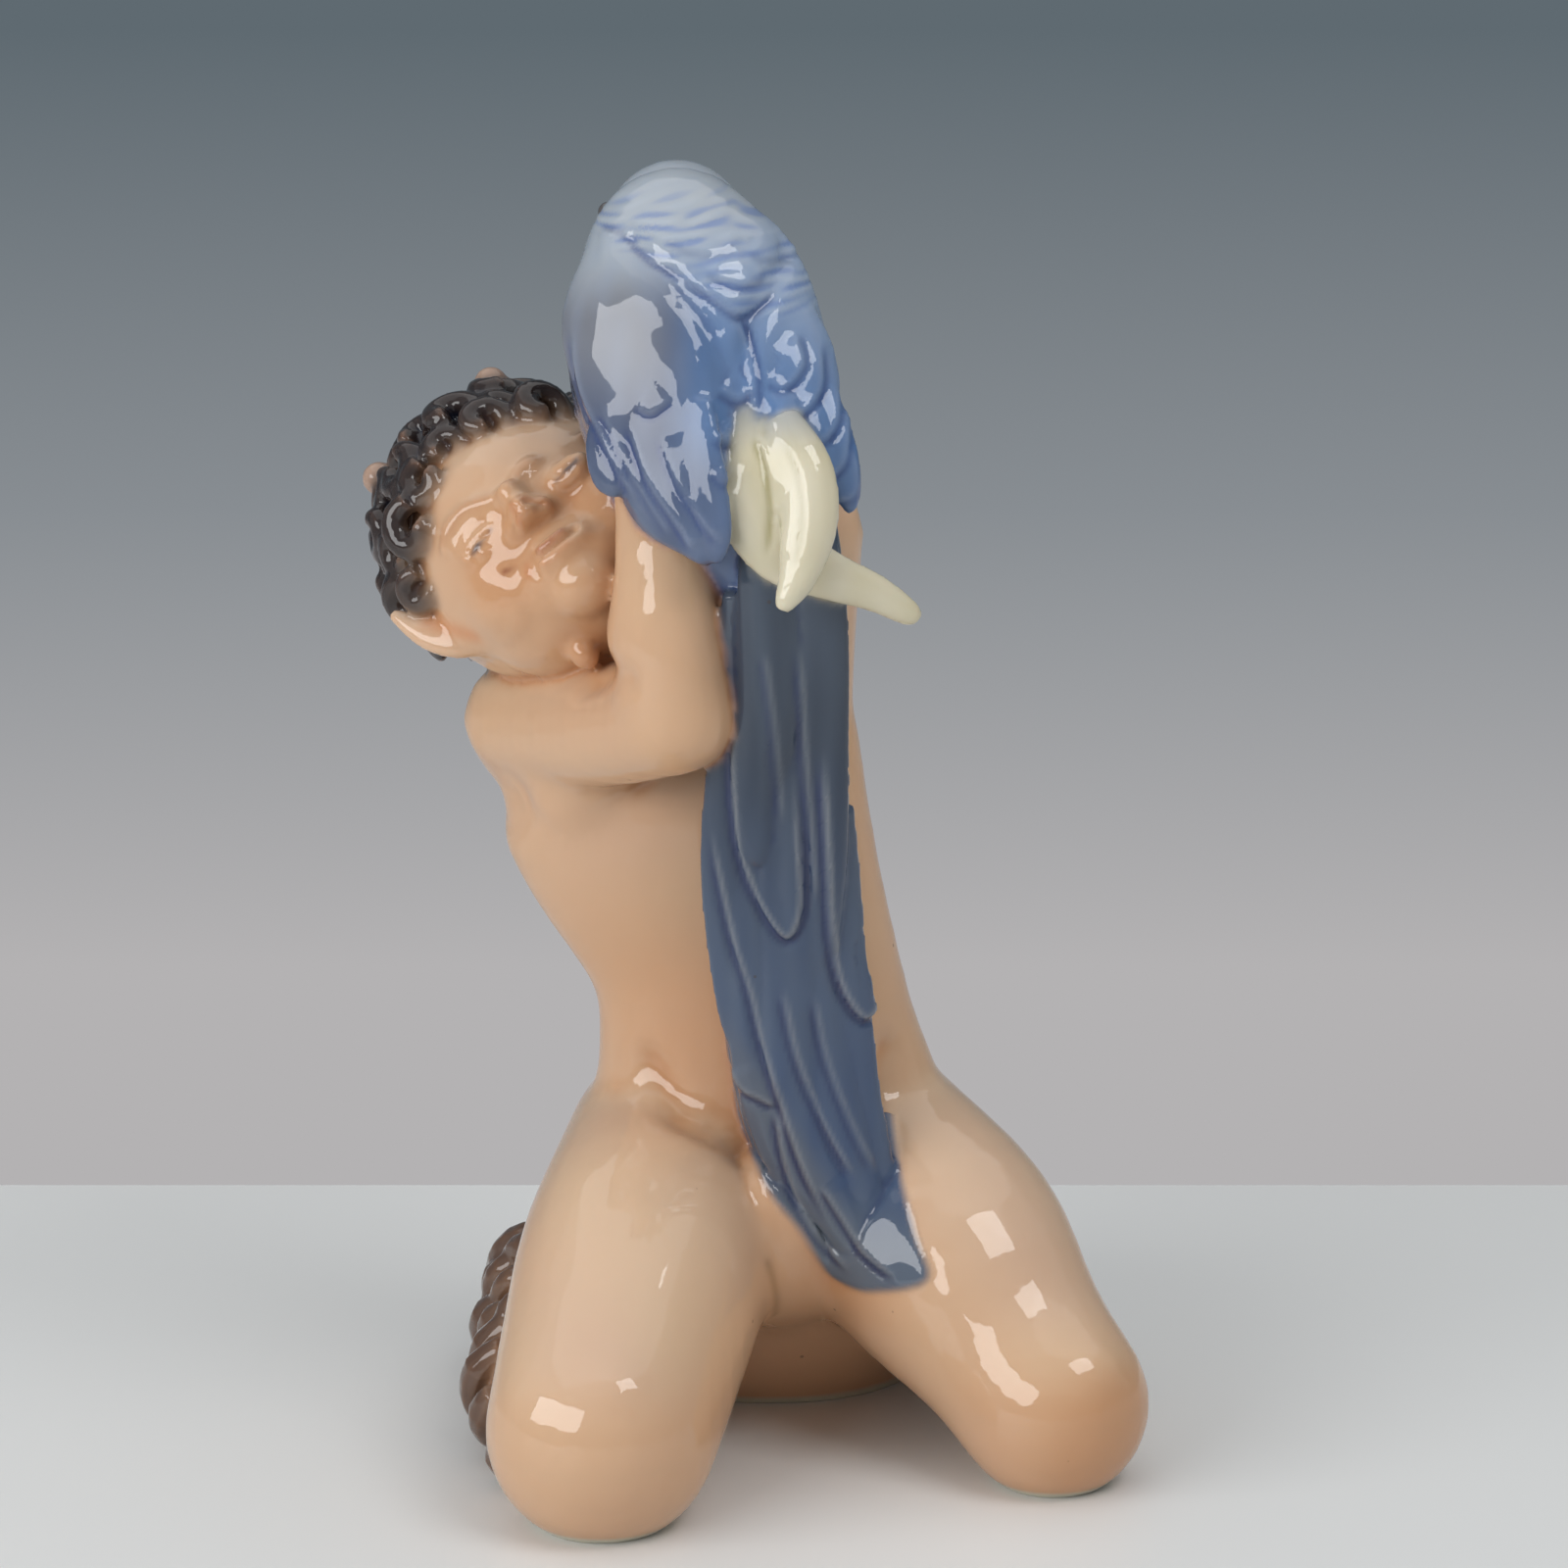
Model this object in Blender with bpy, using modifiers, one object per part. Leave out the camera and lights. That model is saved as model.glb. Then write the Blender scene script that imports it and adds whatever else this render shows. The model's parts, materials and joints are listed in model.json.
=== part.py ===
"""A glazed porcelain figurine: a faun kneels with its knees apart, throws its head back
and holds a long-tailed parrot against its cheek. The whole figurine is one cast piece.

Metres, +Z up. The faun faces -Y, and +X is its own left side. It is modelled over a point on the
table under its trunk, and moved at the end so that the origin is in the middle of its base.
"""

import math

import bmesh
import bpy
import numpy as np
from mathutils import Matrix, Vector
from mathutils.bvhtree import BVHTree

MM = 0.001
TOUCH = 0.01 * MM


def at(x, y, z):
    """A point or a step, given in millimetres."""
    return Vector((x, y, z)) * MM


# Fineness of the solid
BODY_VOXEL = 1.5 * MM
HEAD_VOXEL = 0.8 * MM
SKIN_VOXEL = 0.8 * MM
TRIANGLES = 11650

# Trunk, from the seat up
SEAT = at(2, 20, 10)
PELVIS = at(1.5, 5, 42)
WAIST = PELVIS + at(-3.7, -2.5, 27)
CHEST = WAIST + at(-6.3, -0.5, 17)
COLLAR = CHEST + at(-6, 0.5, 16)
SEAT_WIDTH = 44 * MM
HIP_WIDTH = 52 * MM
WAIST_WIDTH = 43.5 * MM
CHEST_WIDTH = 50.5 * MM
SHOULDER_WIDTH = 52 * MM
NECK_WIDTH = 22 * MM
HIP_DEPTH = 34 * MM
WAIST_DEPTH = 28 * MM
CHEST_DEPTH = 31 * MM
BUTTOCK = 15 * MM

# Legs
HIP_RIGHT = PELVIS + at(-12, 0, -6)
HIP_LEFT = PELVIS + at(13, 0, -6)
KNEE_RIGHT = at(-20.5, -42.5, 13)
KNEE_LEFT = at(41, -27, 11)
HEEL_RIGHT = at(-28.5, 20, 9)
HEEL_LEFT = at(37, 27, 9)
HOOF_RIGHT = at(-19, 38, 6)
HOOF_LEFT = at(24, 41, 6)
THIGH_RADIUS = 18.5 * MM
KNEE_RADIUS_RIGHT = 16 * MM
KNEE_RADIUS_LEFT = 13.6 * MM
SHANK_RADIUS = 9.5 * MM
HOOF_RADIUS = 6 * MM

# Arms
SHOULDER_RIGHT = CHEST + at(-23.5, -1, 15.5)
SHOULDER_LEFT = CHEST + at(14.3, 2, 16)
ELBOW_RIGHT = SHOULDER_RIGHT + at(21.8, -30, 7)
WRIST_RIGHT = ELBOW_RIGHT + at(-2.5, 0.5, 30)
ELBOW_LEFT = SHOULDER_LEFT + at(2.4, -10, 27)
WRIST_LEFT = ELBOW_LEFT + at(-3.5, 2, 15)
SHOULDER_RADIUS = 8.8 * MM
ELBOW_RADIUS = 8.2 * MM
WRIST_RADIUS = 5.8 * MM
FINGER_RADIUS = 1.9 * MM
FINGER_LENGTH = 11 * MM

# Head
HEAD = COLLAR + at(-11, -10.5, 24.3)
HEAD_TURN = (
    Matrix.Rotation(math.radians(-13), 4, "X")
    @ Matrix.Rotation(math.radians(-38.8), 4, "Y")
    @ Matrix.Rotation(math.radians(-29.2), 4, "X")
    @ Matrix.Rotation(math.radians(-2.7), 4, "Z")
)
SKULL_RADIUS = 18.5 * MM
SKULL_MIDDLE = at(-2.2, 1.7, 4.7)
HAIR_WIDTH = 34 * MM
HAIR_DEPTH = 37 * MM
HAIR_HEIGHT = 31 * MM
HAIR_MIDDLE = at(-3.7, 7.2, 15.2)
EYE_SPREAD = 16.8 * MM
FACE_RADIUS = 17 * MM
FACE_CARE = 5e-5
CURL_RADIUS = 3.8 * MM
CURL_COUNT = 105
HORN_RADIUS = 3 * MM
HORN_LENGTH = 5.5 * MM
EAR_LENGTH = 14 * MM
EAR_WIDTH = 8 * MM

# Parrot
BIRD = WRIST_RIGHT + at(8, 7, 9)
BIRD_WIDTH = 35 * MM
BIRD_DEPTH = 30 * MM
CROWN_RADIUS = 9.8 * MM
BEAK_LENGTH = 12 * MM
WING_THICKNESS = 9 * MM
FEATHER_THICKNESS = 1.5 * MM
PLUME_SPACING = 5.2 * MM
PLUME_THICKNESS = 1.7 * MM
TAIL_FEATHER_WIDTH = 8.6 * MM
TAIL_CORE_DEPTH = 10 * MM

# Fur
LOCK_LENGTH = 13 * MM
LOCK_RADIUS = 2.9 * MM
LOCK_SPACING = 6.2 * MM

X_AXIS = Vector((1, 0, 0))
Y_AXIS = Vector((0, 1, 0))
Z_AXIS = Vector((0, 0, 1))


def smooth_line(stations, steps):
    """Points of a smooth curve through the stations. Further columns, such as sizes, follow it."""
    ends = [2 * stations[0] - stations[1], *stations, 2 * stations[-1] - stations[-2]]
    line = []
    for before, start, end, after in zip(ends, ends[1:], ends[2:], ends[3:], strict=False):
        for t in np.arange(steps) / steps:
            line.append(
                start
                + (end - before) * t / 2
                + (before - 2.5 * start + 2 * end - after / 2) * t**2
                + (1.5 * (start - end) + (after - before) / 2) * t**3
            )
    return np.array([*line, stations[-1]])


def loft(form, rings, side, sides=16, steps=4):
    """Adds a closed skin through rings of (centre, half width, half depth). Width lies along side."""
    stations = [np.array([*centre, width, depth]) for centre, width, depth in rings]
    line = smooth_line(stations, steps)
    tangents = np.gradient(line[:, :3], axis=0)
    loops = []
    for (x, y, z, width, depth), tangent in zip(line, tangents, strict=True):
        along = Vector(tangent).normalized()
        across = (Vector(side) - along * along.dot(side)).normalized()
        out = along.cross(across)
        loop = []
        for k in range(sides):
            turn = math.tau * k / sides
            offset = across * max(width, 1e-5) * math.cos(turn) + out * max(depth, 1e-5) * math.sin(turn)
            loop.append(form.verts.new(Vector((x, y, z)) + offset))
        loops.append(loop)
    for low, high in zip(loops, loops[1:], strict=False):
        for k in range(sides):
            n = (k + 1) % sides
            form.faces.new((low[k], low[n], high[n], high[k]))
    form.faces.new(loops[0][::-1])
    form.faces.new(loops[-1])


def ball(form, centre, radii, turn=None, fineness=3):
    """Adds an ellipsoid."""
    shape = Matrix.Diagonal((*radii, 1))
    place = Matrix.Translation(centre) @ (turn or Matrix.Identity(4)) @ shape
    bmesh.ops.create_icosphere(form, subdivisions=fineness, radius=1, matrix=place)


def limb(form, joints, sides=20):
    """Adds a round limb through joints of (centre, radius), with a ball at each end."""
    rings = [(centre, radius, radius) for centre, radius in joints]
    along = joints[-1][0] - joints[0][0]
    loft(form, rings, X_AXIS if abs(along.normalized().x) < 0.8 else Y_AXIS, sides)
    for centre, radius in (joints[0], joints[-1]):
        ball(form, centre, (radius, radius, radius))


def object_of(name, form):
    """A new object from a bmesh, which is freed."""
    bmesh.ops.recalc_face_normals(form, faces=form.faces)
    mesh = bpy.data.meshes.new(name)
    form.to_mesh(mesh)
    form.free()
    obj = bpy.data.objects.new(name, mesh)
    bpy.context.scene.collection.objects.link(obj)
    return obj


def settle(obj):
    """Applies the modifiers of an object."""
    graph = bpy.context.evaluated_depsgraph_get()
    mesh = bpy.data.meshes.new_from_object(obj.evaluated_get(graph))
    obj.modifiers.clear()
    obj.data = mesh
    return obj


def fuse(name, form, voxel, rounds):
    """One skin around overlapping closed forms, its creases softened."""
    obj = object_of(name, form)
    remesh = obj.modifiers.new("skin", "REMESH")
    remesh.mode = "VOXEL"
    remesh.voxel_size = voxel
    if rounds:
        soften = obj.modifiers.new("soften", "SMOOTH")
        soften.factor = 0.5
        soften.iterations = rounds
    return settle(obj)


def add_object(form, obj):
    """Moves an object's mesh into a form."""
    form.from_mesh(obj.data)
    bpy.data.objects.remove(obj)


def trunk_rings():
    """The trunk from the seat to the neck."""
    return [
        (SEAT + at(0, 1, -16), SEAT_WIDTH / 2, HIP_DEPTH / 2),
        (SEAT + at(0, 0, -6), SEAT_WIDTH / 2, HIP_DEPTH / 2),
        (SEAT + at(0, -8, 11), HIP_WIDTH / 2, HIP_DEPTH / 2 + 2 * MM),
        (PELVIS, HIP_WIDTH / 2, HIP_DEPTH / 2),
        ((PELVIS + WAIST) / 2 + at(0.5, -0.5, 0), WAIST_WIDTH / 2 + 1 * MM, WAIST_DEPTH / 2 + 1.5 * MM),
        (WAIST, WAIST_WIDTH / 2, WAIST_DEPTH / 2),
        (CHEST, CHEST_WIDTH / 2, CHEST_DEPTH / 2),
        (CHEST + at(-3.2, 0.5, 9.5), SHOULDER_WIDTH / 2, CHEST_DEPTH / 2 - 1 * MM),
        (COLLAR, SHOULDER_WIDTH / 2 - 6 * MM, CHEST_DEPTH / 2 - 5 * MM),
        (COLLAR + at(-2, 0.5, 6), NECK_WIDTH / 2 + 2 * MM, NECK_WIDTH / 2 - 1 * MM),
    ]


def add_trunk(form):
    """Trunk, buttocks and neck."""
    loft(form, trunk_rings(), X_AXIS, sides=32)
    for x in (-11, 11):
        ball(form, SEAT + at(x, 8, 10), (BUTTOCK, BUTTOCK, BUTTOCK * 1.1))
    loft(
        form,
        [
            (COLLAR + at(-1, 0, 2), NECK_WIDTH / 2, NECK_WIDTH / 2),
            (COLLAR + at(-2.5, -5, 9), NECK_WIDTH / 2 - 1.5 * MM, NECK_WIDTH / 2 - 1 * MM),
            (HEAD + head_step(-1, 3.4, -9.8), NECK_WIDTH / 2 + 1 * MM, NECK_WIDTH / 2),
        ],
        X_AXIS,
    )


def add_leg(form, hip, knee, knee_radius, heel):
    """A thigh and the shank that is folded under it."""
    limb(
        form,
        [
            (hip + at(0, 3, 0), THIGH_RADIUS - 1.5 * MM),
            (hip.lerp(knee, 0.45) + at(0, -1, 2.5), THIGH_RADIUS - 0.5 * MM),
            (hip.lerp(knee, 0.8) + at(0, 0, 1), knee_radius + 0.8 * MM),
            (knee, knee_radius),
        ],
        sides=24,
    )
    under = knee.lerp(heel, 0.5)
    limb(
        form,
        [
            (knee + at(0, 5, -3), knee_radius - 2 * MM),
            (Vector((under.x, under.y, SHANK_RADIUS)), SHANK_RADIUS + 2 * MM),
            (heel, SHANK_RADIUS),
        ],
    )


def add_arms(form):
    """Both arms, up to the wrists."""
    limb(
        form,
        [
            (SHOULDER_RIGHT, SHOULDER_RADIUS),
            (SHOULDER_RIGHT.lerp(ELBOW_RIGHT, 0.5) + at(0, 0, -1), SHOULDER_RADIUS),
            (ELBOW_RIGHT, ELBOW_RADIUS),
        ],
    )
    limb(
        form,
        [
            (ELBOW_RIGHT, ELBOW_RADIUS),
            (ELBOW_RIGHT.lerp(WRIST_RIGHT, 0.35) + at(-0.5, 0, 0), ELBOW_RADIUS),
            (ELBOW_RIGHT.lerp(WRIST_RIGHT, 0.7), ELBOW_RADIUS - 1.6 * MM),
            (WRIST_RIGHT + at(-0.5, 2, 4), WRIST_RADIUS),
        ],
    )
    limb(
        form,
        [
            (SHOULDER_LEFT + at(-1, 0, -3), SHOULDER_RADIUS),
            (SHOULDER_LEFT.lerp(ELBOW_LEFT, 0.45), SHOULDER_RADIUS - 1.5 * MM),
            (ELBOW_LEFT, ELBOW_RADIUS - 1.3 * MM),
        ],
    )
    limb(
        form,
        [
            (ELBOW_LEFT, ELBOW_RADIUS - 1.3 * MM),
            (ELBOW_LEFT.lerp(WRIST_LEFT, 0.5) + at(0, 1, 0), ELBOW_RADIUS - 2 * MM),
            (WRIST_LEFT, WRIST_RADIUS - 0.5 * MM),
        ],
    )


def add_muscles(form):
    """Soft swellings: armpit, breast, belly, shoulder blades, kneecaps and calves."""
    limb(form, [(CHEST + at(-19, 3, 3), 5.6 * MM), (SHOULDER_RIGHT + at(1, 3, -3), SHOULDER_RADIUS)])
    for spot, radii in (
        (COLLAR + at(-12, -1, 1), (9, 8, 8)),
        (COLLAR + at(8, 0, -1), (9, 8, 6)),
        (COLLAR + at(-7, -8, 5), (9, 8, 8)),
        (CHEST + at(-14, -9.5, 8), (9, 5.5, 8)),
        (CHEST + at(4, -9.5, 8), (9, 5.5, 8)),
        (PELVIS + at(-1, -10, 13), (13, 6, 13)),
        (CHEST + at(-14, 10, 9), (9, 5, 10)),
        (CHEST + at(6, 10, 9), (9, 5, 10)),
        (KNEE_RIGHT + at(1, -5, 6), (9, 9, 8)),
        (KNEE_LEFT + at(2, -4, 4), (9, 8, 8)),
        (KNEE_RIGHT.lerp(HEEL_RIGHT, 0.42) + at(-2.5, 0, -2), (11, 15, 9)),
        (KNEE_LEFT.lerp(HEEL_LEFT, 0.45) + at(0, 0, -1), (10, 14, 9)),
    ):
        ball(form, spot, [r * MM for r in radii])


def body():
    """The bare body as one soft skin."""
    form = bmesh.new()
    add_trunk(form)
    add_muscles(form)
    add_leg(form, HIP_RIGHT, KNEE_RIGHT, KNEE_RADIUS_RIGHT, HEEL_RIGHT)
    add_leg(form, HIP_LEFT, KNEE_LEFT, KNEE_RADIUS_LEFT, HEEL_LEFT)
    add_arms(form)
    skin = fuse("body", form, BODY_VOXEL, rounds=7)
    for sign, path in (
        (-1, [PELVIS + at(-19.2, -18, 12.6), PELVIS + at(-11.1, -19, 4.7), PELVIS + at(-0.5, -19, -8)]),
        (1, [PELVIS + at(22, -17, 15.5), PELVIS + at(13.8, -18, 7), PELVIS + at(6, -19, -3)]),
    ):
        stroke(skin, path, 2.4 * MM, -1.3 * MM)
    spine = [COLLAR + at(1, 12, -4), CHEST + at(-1, 16, 0), WAIST + at(0, 15, 0), PELVIS + at(0, 19, 4)]
    stroke(skin, spine, 3.5 * MM, -1.6 * MM)
    stroke(skin, [PELVIS + at(0, 22, -6), SEAT + at(0, 16, 16), SEAT + at(0, 22, 6)], 2.5 * MM, -3 * MM)
    elbow = [ELBOW_RIGHT + at(-16, 4, 7), ELBOW_RIGHT + at(-11, 0, 6), ELBOW_RIGHT + at(-6, -5, 6)]
    stroke(skin, elbow, 2.2 * MM, -1.2 * MM)
    return skin


def head_step(x, y, z):
    """A step in the head's own directions: its left, its back and its crown."""
    return HEAD_TURN.to_3x3() @ at(x, y, z)


def head():
    """The bare head as one soft skin: skull, brow, cheeks, jaw, chin, nose, eyelids and wattle."""
    form = bmesh.new()
    eye = EYE_SPREAD / 2 / MM
    ball(form, HEAD + HEAD_TURN.to_3x3() @ SKULL_MIDDLE, [SKULL_RADIUS] * 3)
    for centre, radii in (
        ((-0.5, -1.5, -4.5), (16.2, 12.8, 12)),
        ((0, -7, -7.5), (10.5, 8.8, 7)),
        ((0, -10.2, -12), (5.2, 4.8, 4.2)),
        ((8.8, -8.8, -4.8), (6.4, 6.3, 5.6)),
        ((-8.8, -8.8, -4.8), (6.4, 6.3, 5.6)),
        ((0, -15.2, -0.6), (2.2, 3, 3.6)),
        ((0, -17.4, -3), (2.7, 2.9, 2.5)),
        ((2.7, -16.2, -3.8), (1.9, 2.2, 1.7)),
        ((-2.7, -16.2, -3.8), (1.9, 2.2, 1.7)),
        ((eye - 0.4, -14.2, 0.6), (3.6, 2.4, 2.2)),
        ((-eye + 0.4, -14.2, 0.6), (3.6, 2.4, 2.2)),
        ((0, -14.2, -8), (5.4, 2.6, 2.6)),
        ((-6.4, -3.4, -16.2), (2.1, 2.5, 2.3)),
    ):
        ball(form, HEAD + head_step(*centre), [r * MM for r in radii], HEAD_TURN)
    return fuse("head", form, HEAD_VOXEL, rounds=5)


def add_ears(form):
    """Long pointed ears."""
    for sign in (-1, 1):
        root = HEAD + head_step(16 * sign, -0.5, -4.5)
        reach = head_step(0.58 * sign, -0.2, 0.79) * (EAR_LENGTH / MM)
        belly = head_step(1.5 * sign, -0.4, -1.2)
        half = EAR_WIDTH / 2
        loft(
            form,
            [
                (root, half * 0.7, 2.4 * MM),
                (root + reach * 0.25 + belly, half, 2.1 * MM),
                (root + reach * 0.6 + belly * 0.6, half * 0.66, 1.5 * MM),
                (root + reach, 0.8 * MM, 0.8 * MM),
            ],
            head_step(0.82 * sign, -0.2, -0.51),
        )


def add_horns(form):
    """Two blunt horn buds that stand out of the hair."""
    for sign in (-1, 1):
        root = HEAD + HEAD_TURN.to_3x3() @ (HAIR_MIDDLE + at(8.3 * sign, -5.5, 8.7))
        tip = root + head_step(0.3 * sign, -0.26, 0.92) * (HORN_LENGTH / MM)
        limb(form, [(root, HORN_RADIUS), (tip, HORN_RADIUS * 0.8)], sides=12)


def curl(form, root, out, start, size):
    """A snail curl of hair that lies on the scalp."""
    across = out.orthogonal().normalized()
    upward = out.cross(across)
    rings = []
    for k in range(8):
        t = k / 7
        turn = start + 1.7 * math.pi * t
        reach = size * (0.85 - 0.55 * t)
        lift = size * (0.05 + 0.45 * t)
        centre = root + (across * math.cos(turn) + upward * math.sin(turn)) * reach + out * lift
        thickness = size * (0.3 + 0.16 * math.sin(math.pi * (0.15 + 0.75 * t)))
        rings.append((centre, thickness, thickness))
    loft(form, rings, out, sides=8, steps=2)


def on_scalp(spot):
    """Whether hair grows there: above a line from the forehead, over the ears, to the nape."""
    x, y, z = spot / MM
    return y * 0.47 + z * 0.88 > 8.2 - 0.036 * x * x


def add_hair(form):
    """Short curls all over the scalp."""
    golden = math.pi * (3 - math.sqrt(5))
    half = Vector((HAIR_WIDTH, HAIR_DEPTH, HAIR_HEIGHT)) / 2
    turn = HEAD_TURN.to_3x3()
    ball(form, HEAD + turn @ HAIR_MIDDLE, half, HEAD_TURN)
    for k in range(CURL_COUNT):
        height = 1 - 2 * (k + 0.5) / CURL_COUNT
        ring = math.sqrt(1 - height * height)
        direction = Vector((ring * math.cos(golden * k), ring * math.sin(golden * k), height))
        spot = HAIR_MIDDLE + Vector(d * h for d, h in zip(direction, half, strict=True)) - SKULL_MIDDLE
        spot = SKULL_MIDDLE + spot * max(1, SKULL_RADIUS / spot.length)
        if on_scalp(spot):
            size = CURL_RADIUS * (1 + 0.16 * math.sin(5 * k))
            curl(form, HEAD + turn @ spot, (turn @ direction).normalized(), 2.4 * k, size)


def feather(form, root, tip, out, width, thickness, bow=0.0, blunt=0.35):
    """A blade from root to tip, with its face towards out."""
    side = (tip - root).cross(out)
    shape = ((0.0, 0.55), (0.3, 0.9), (0.6, 1.0), (0.85, 0.8), (0.97, blunt), (1.0, 0.1))
    rings = [
        (root.lerp(tip, t) + out * bow * 4 * t * (1 - t), width / 2 * w, thickness / 2 * (0.4 + 0.6 * w))
        for t, w in shape
    ]
    loft(form, rings, side, sides=10, steps=3)


def add_bird_body(form):
    """The parrot's trunk and head. It looks away, over the faun's shoulder."""
    wide, deep = BIRD_WIDTH / 2, BIRD_DEPTH / 2
    loft(
        form,
        [
            (BIRD + at(8, -6, -21), wide * 0.44, deep * 0.4),
            (BIRD + at(4, -3.5, -13), wide * 0.74, deep * 0.72),
            (BIRD + at(0, -1.5, -3), wide * 0.95, deep * 0.93),
            (BIRD + at(-2.4, 1, 6), wide, deep * 1.02),
            (BIRD + at(-4, 4, 15.5), wide * 0.93, deep),
            (BIRD + at(-5.5, 8.5, 22), wide * 0.72, deep * 0.78),
            (BIRD + at(-5.8, 13, 26), wide * 0.48, deep * 0.55),
        ],
        X_AXIS,
        sides=28,
    )
    ball(form, BIRD + at(2.8, -9.6, -1), (7 * MM, 6 * MM, 12 * MM))
    crown = BIRD + at(-5.8, 15, 22.7)
    ball(form, crown, (CROWN_RADIUS, CROWN_RADIUS * 1.15, CROWN_RADIUS))
    return crown


def add_beak(form, crown):
    """A hooked beak and the eyes."""
    length = BEAK_LENGTH / MM
    loft(
        form,
        [
            (crown + at(-1, 7, 0.5), 4.6 * MM, 4.8 * MM),
            (crown + at(-2, 7 + length * 0.55, -0.5), 3.6 * MM, 3.8 * MM),
            (crown + at(-2.5, 7 + length * 0.85, -4), 2.2 * MM, 2.6 * MM),
            (crown + at(-2.7, 7 + length * 0.8, -8.5), 0.7 * MM, 0.8 * MM),
        ],
        X_AXIS,
        sides=12,
    )
    loft(
        form,
        [
            (crown + at(-1, 6, -4), 3.8 * MM, 3 * MM),
            (crown + at(-2, 6 + length * 0.5, -5.5), 2 * MM, 1.6 * MM),
        ],
        X_AXIS,
        sides=12,
    )
    for sign in (-1, 1):
        ball(form, crown + at(8.4 * sign - 0.8, 4.5, 2), (1.7 * MM, 1.7 * MM, 1.7 * MM), fineness=2)


def wing_outlines():
    """Rings of (centre, half width) of the right and the left wing, from shoulder to tip."""
    right = [
        (BIRD + at(-14.5, 2, 22), 4.2),
        (BIRD + at(-13.8, -4.5, 16), 8.8),
        (BIRD + at(-10.4, -9.5, 6.5), 10.2),
        (BIRD + at(-7.1, -12.5, -1.5), 9.4),
        (BIRD + at(-5.6, -15, -8), 7.6),
        (BIRD + at(-2.6, -17.8, -13.2), 4),
        (BIRD + at(-1.2, -19, -16.6), 1.4),
    ]
    left = [
        (BIRD + at(3, 3.5, 21.5), 3.6),
        (BIRD + at(6.8, -2.5, 16.5), 5),
        (BIRD + at(10, -6.8, 9.5), 6.4),
        (BIRD + at(11.2, -9, 3.5), 6),
        (BIRD + at(14, -10.3, -1.5), 4),
        (BIRD + at(16.6, -11.5, -6.5), 2.4),
        (BIRD + at(18.2, -12.5, -10.5), 1.1),
    ]
    return right, left


WING_FACES = (Vector((-0.5, -0.83, 0.25)), Vector((0.5, -0.83, 0.25)))


def add_wings(form):
    """Both folded wings as smooth shells."""
    for outline, face in zip(wing_outlines(), WING_FACES, strict=True):
        down = outline[-1][0] - outline[0][0]
        side = down.cross(face)
        rings = []
        for centre, half in outline:
            thickness = WING_THICKNESS * (0.35 + 0.65 * min(1, half / 8))
            rings.append((centre - face * WING_THICKNESS * 0.1, half * MM, thickness / 2))
        loft(form, rings, side, sides=20)


def bird():
    """The parrot's smooth forms, ready for its feathers."""
    form = bmesh.new()
    crown = add_bird_body(form)
    add_wings(form)
    smooth = fuse("bird", form, BODY_VOXEL * 0.7, rounds=5)
    for path in (
        ((-11, -4, 23), (-5, -9, 18), (0, -13, 12), (2.4, -15.5, 4), (3.2, -16, -3)),
        ((8, 0, 21), (4.6, -9, 15), (3.4, -14, 9), (3.6, -15.5, 3)),
    ):
        stroke(smooth, [BIRD + at(*p) for p in path], 1.7 * MM, -1.5 * MM)
    return smooth, crown


def is_plumed(spot, normal):
    """Whether feathers are modelled there: on the back and the wings, below the hood."""
    height = (spot.z - BIRD.z) / MM
    return -13 < height < 17 and normal.y < 0.35 and spot.y < BIRD.y + 6 * MM


def add_plumage(form, smooth):
    """Overlapping feathers that point to the tips of the wings. They lie closer on the right wing."""
    right, left = wing_outlines()
    for spot, normal in scatter(smooth, is_plumed, PLUME_SPACING):
        x = (spot.x - BIRD.x) / MM
        tip = (right if x < 4 else left)[-1][0] + at(0, 0, -6)
        flow = tip - spot
        flow = (flow - normal * normal.dot(flow)).normalized()
        length = 8 * MM + 0.12 * (BIRD.z + 19 * MM - spot.z)
        sink = 0.95 if x < -1 else 0.6
        root = spot - flow * length * 0.55 - normal * (sink + 0.3) * MM
        end = spot + flow * length * 0.45 - normal * (sink - 0.7) * MM
        feather(form, root, end, normal, PLUME_SPACING * 1.2, PLUME_THICKNESS)


def add_flight_feathers(form):
    """Long feathers at the ends of the wings."""
    for k in range(4):
        root = BIRD + at(-15 + 4.2 * k, -8.5 - 2.3 * k, 2 + 0.8 * k)
        tip = BIRD + at(-13 + 4.4 * k, -13.8 - 1.9 * k, -8.6 - 2.6 * k)
        feather(form, root, tip, WING_FACES[0], 6.8 * MM, FEATHER_THICKNESS * 2, bow=0.8 * MM)
    for k in range(3):
        root = BIRD + at(13.4 - 3 * k, -8.2 - 1.6 * k, 6)
        tip = BIRD + at(17.4 - 3.4 * k, -12.4 - 1.2 * k, -11 + 3.4 * k)
        feather(form, root, tip, WING_FACES[1], 5.6 * MM, FEATHER_THICKNESS * 2, bow=0.8 * MM)


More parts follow.
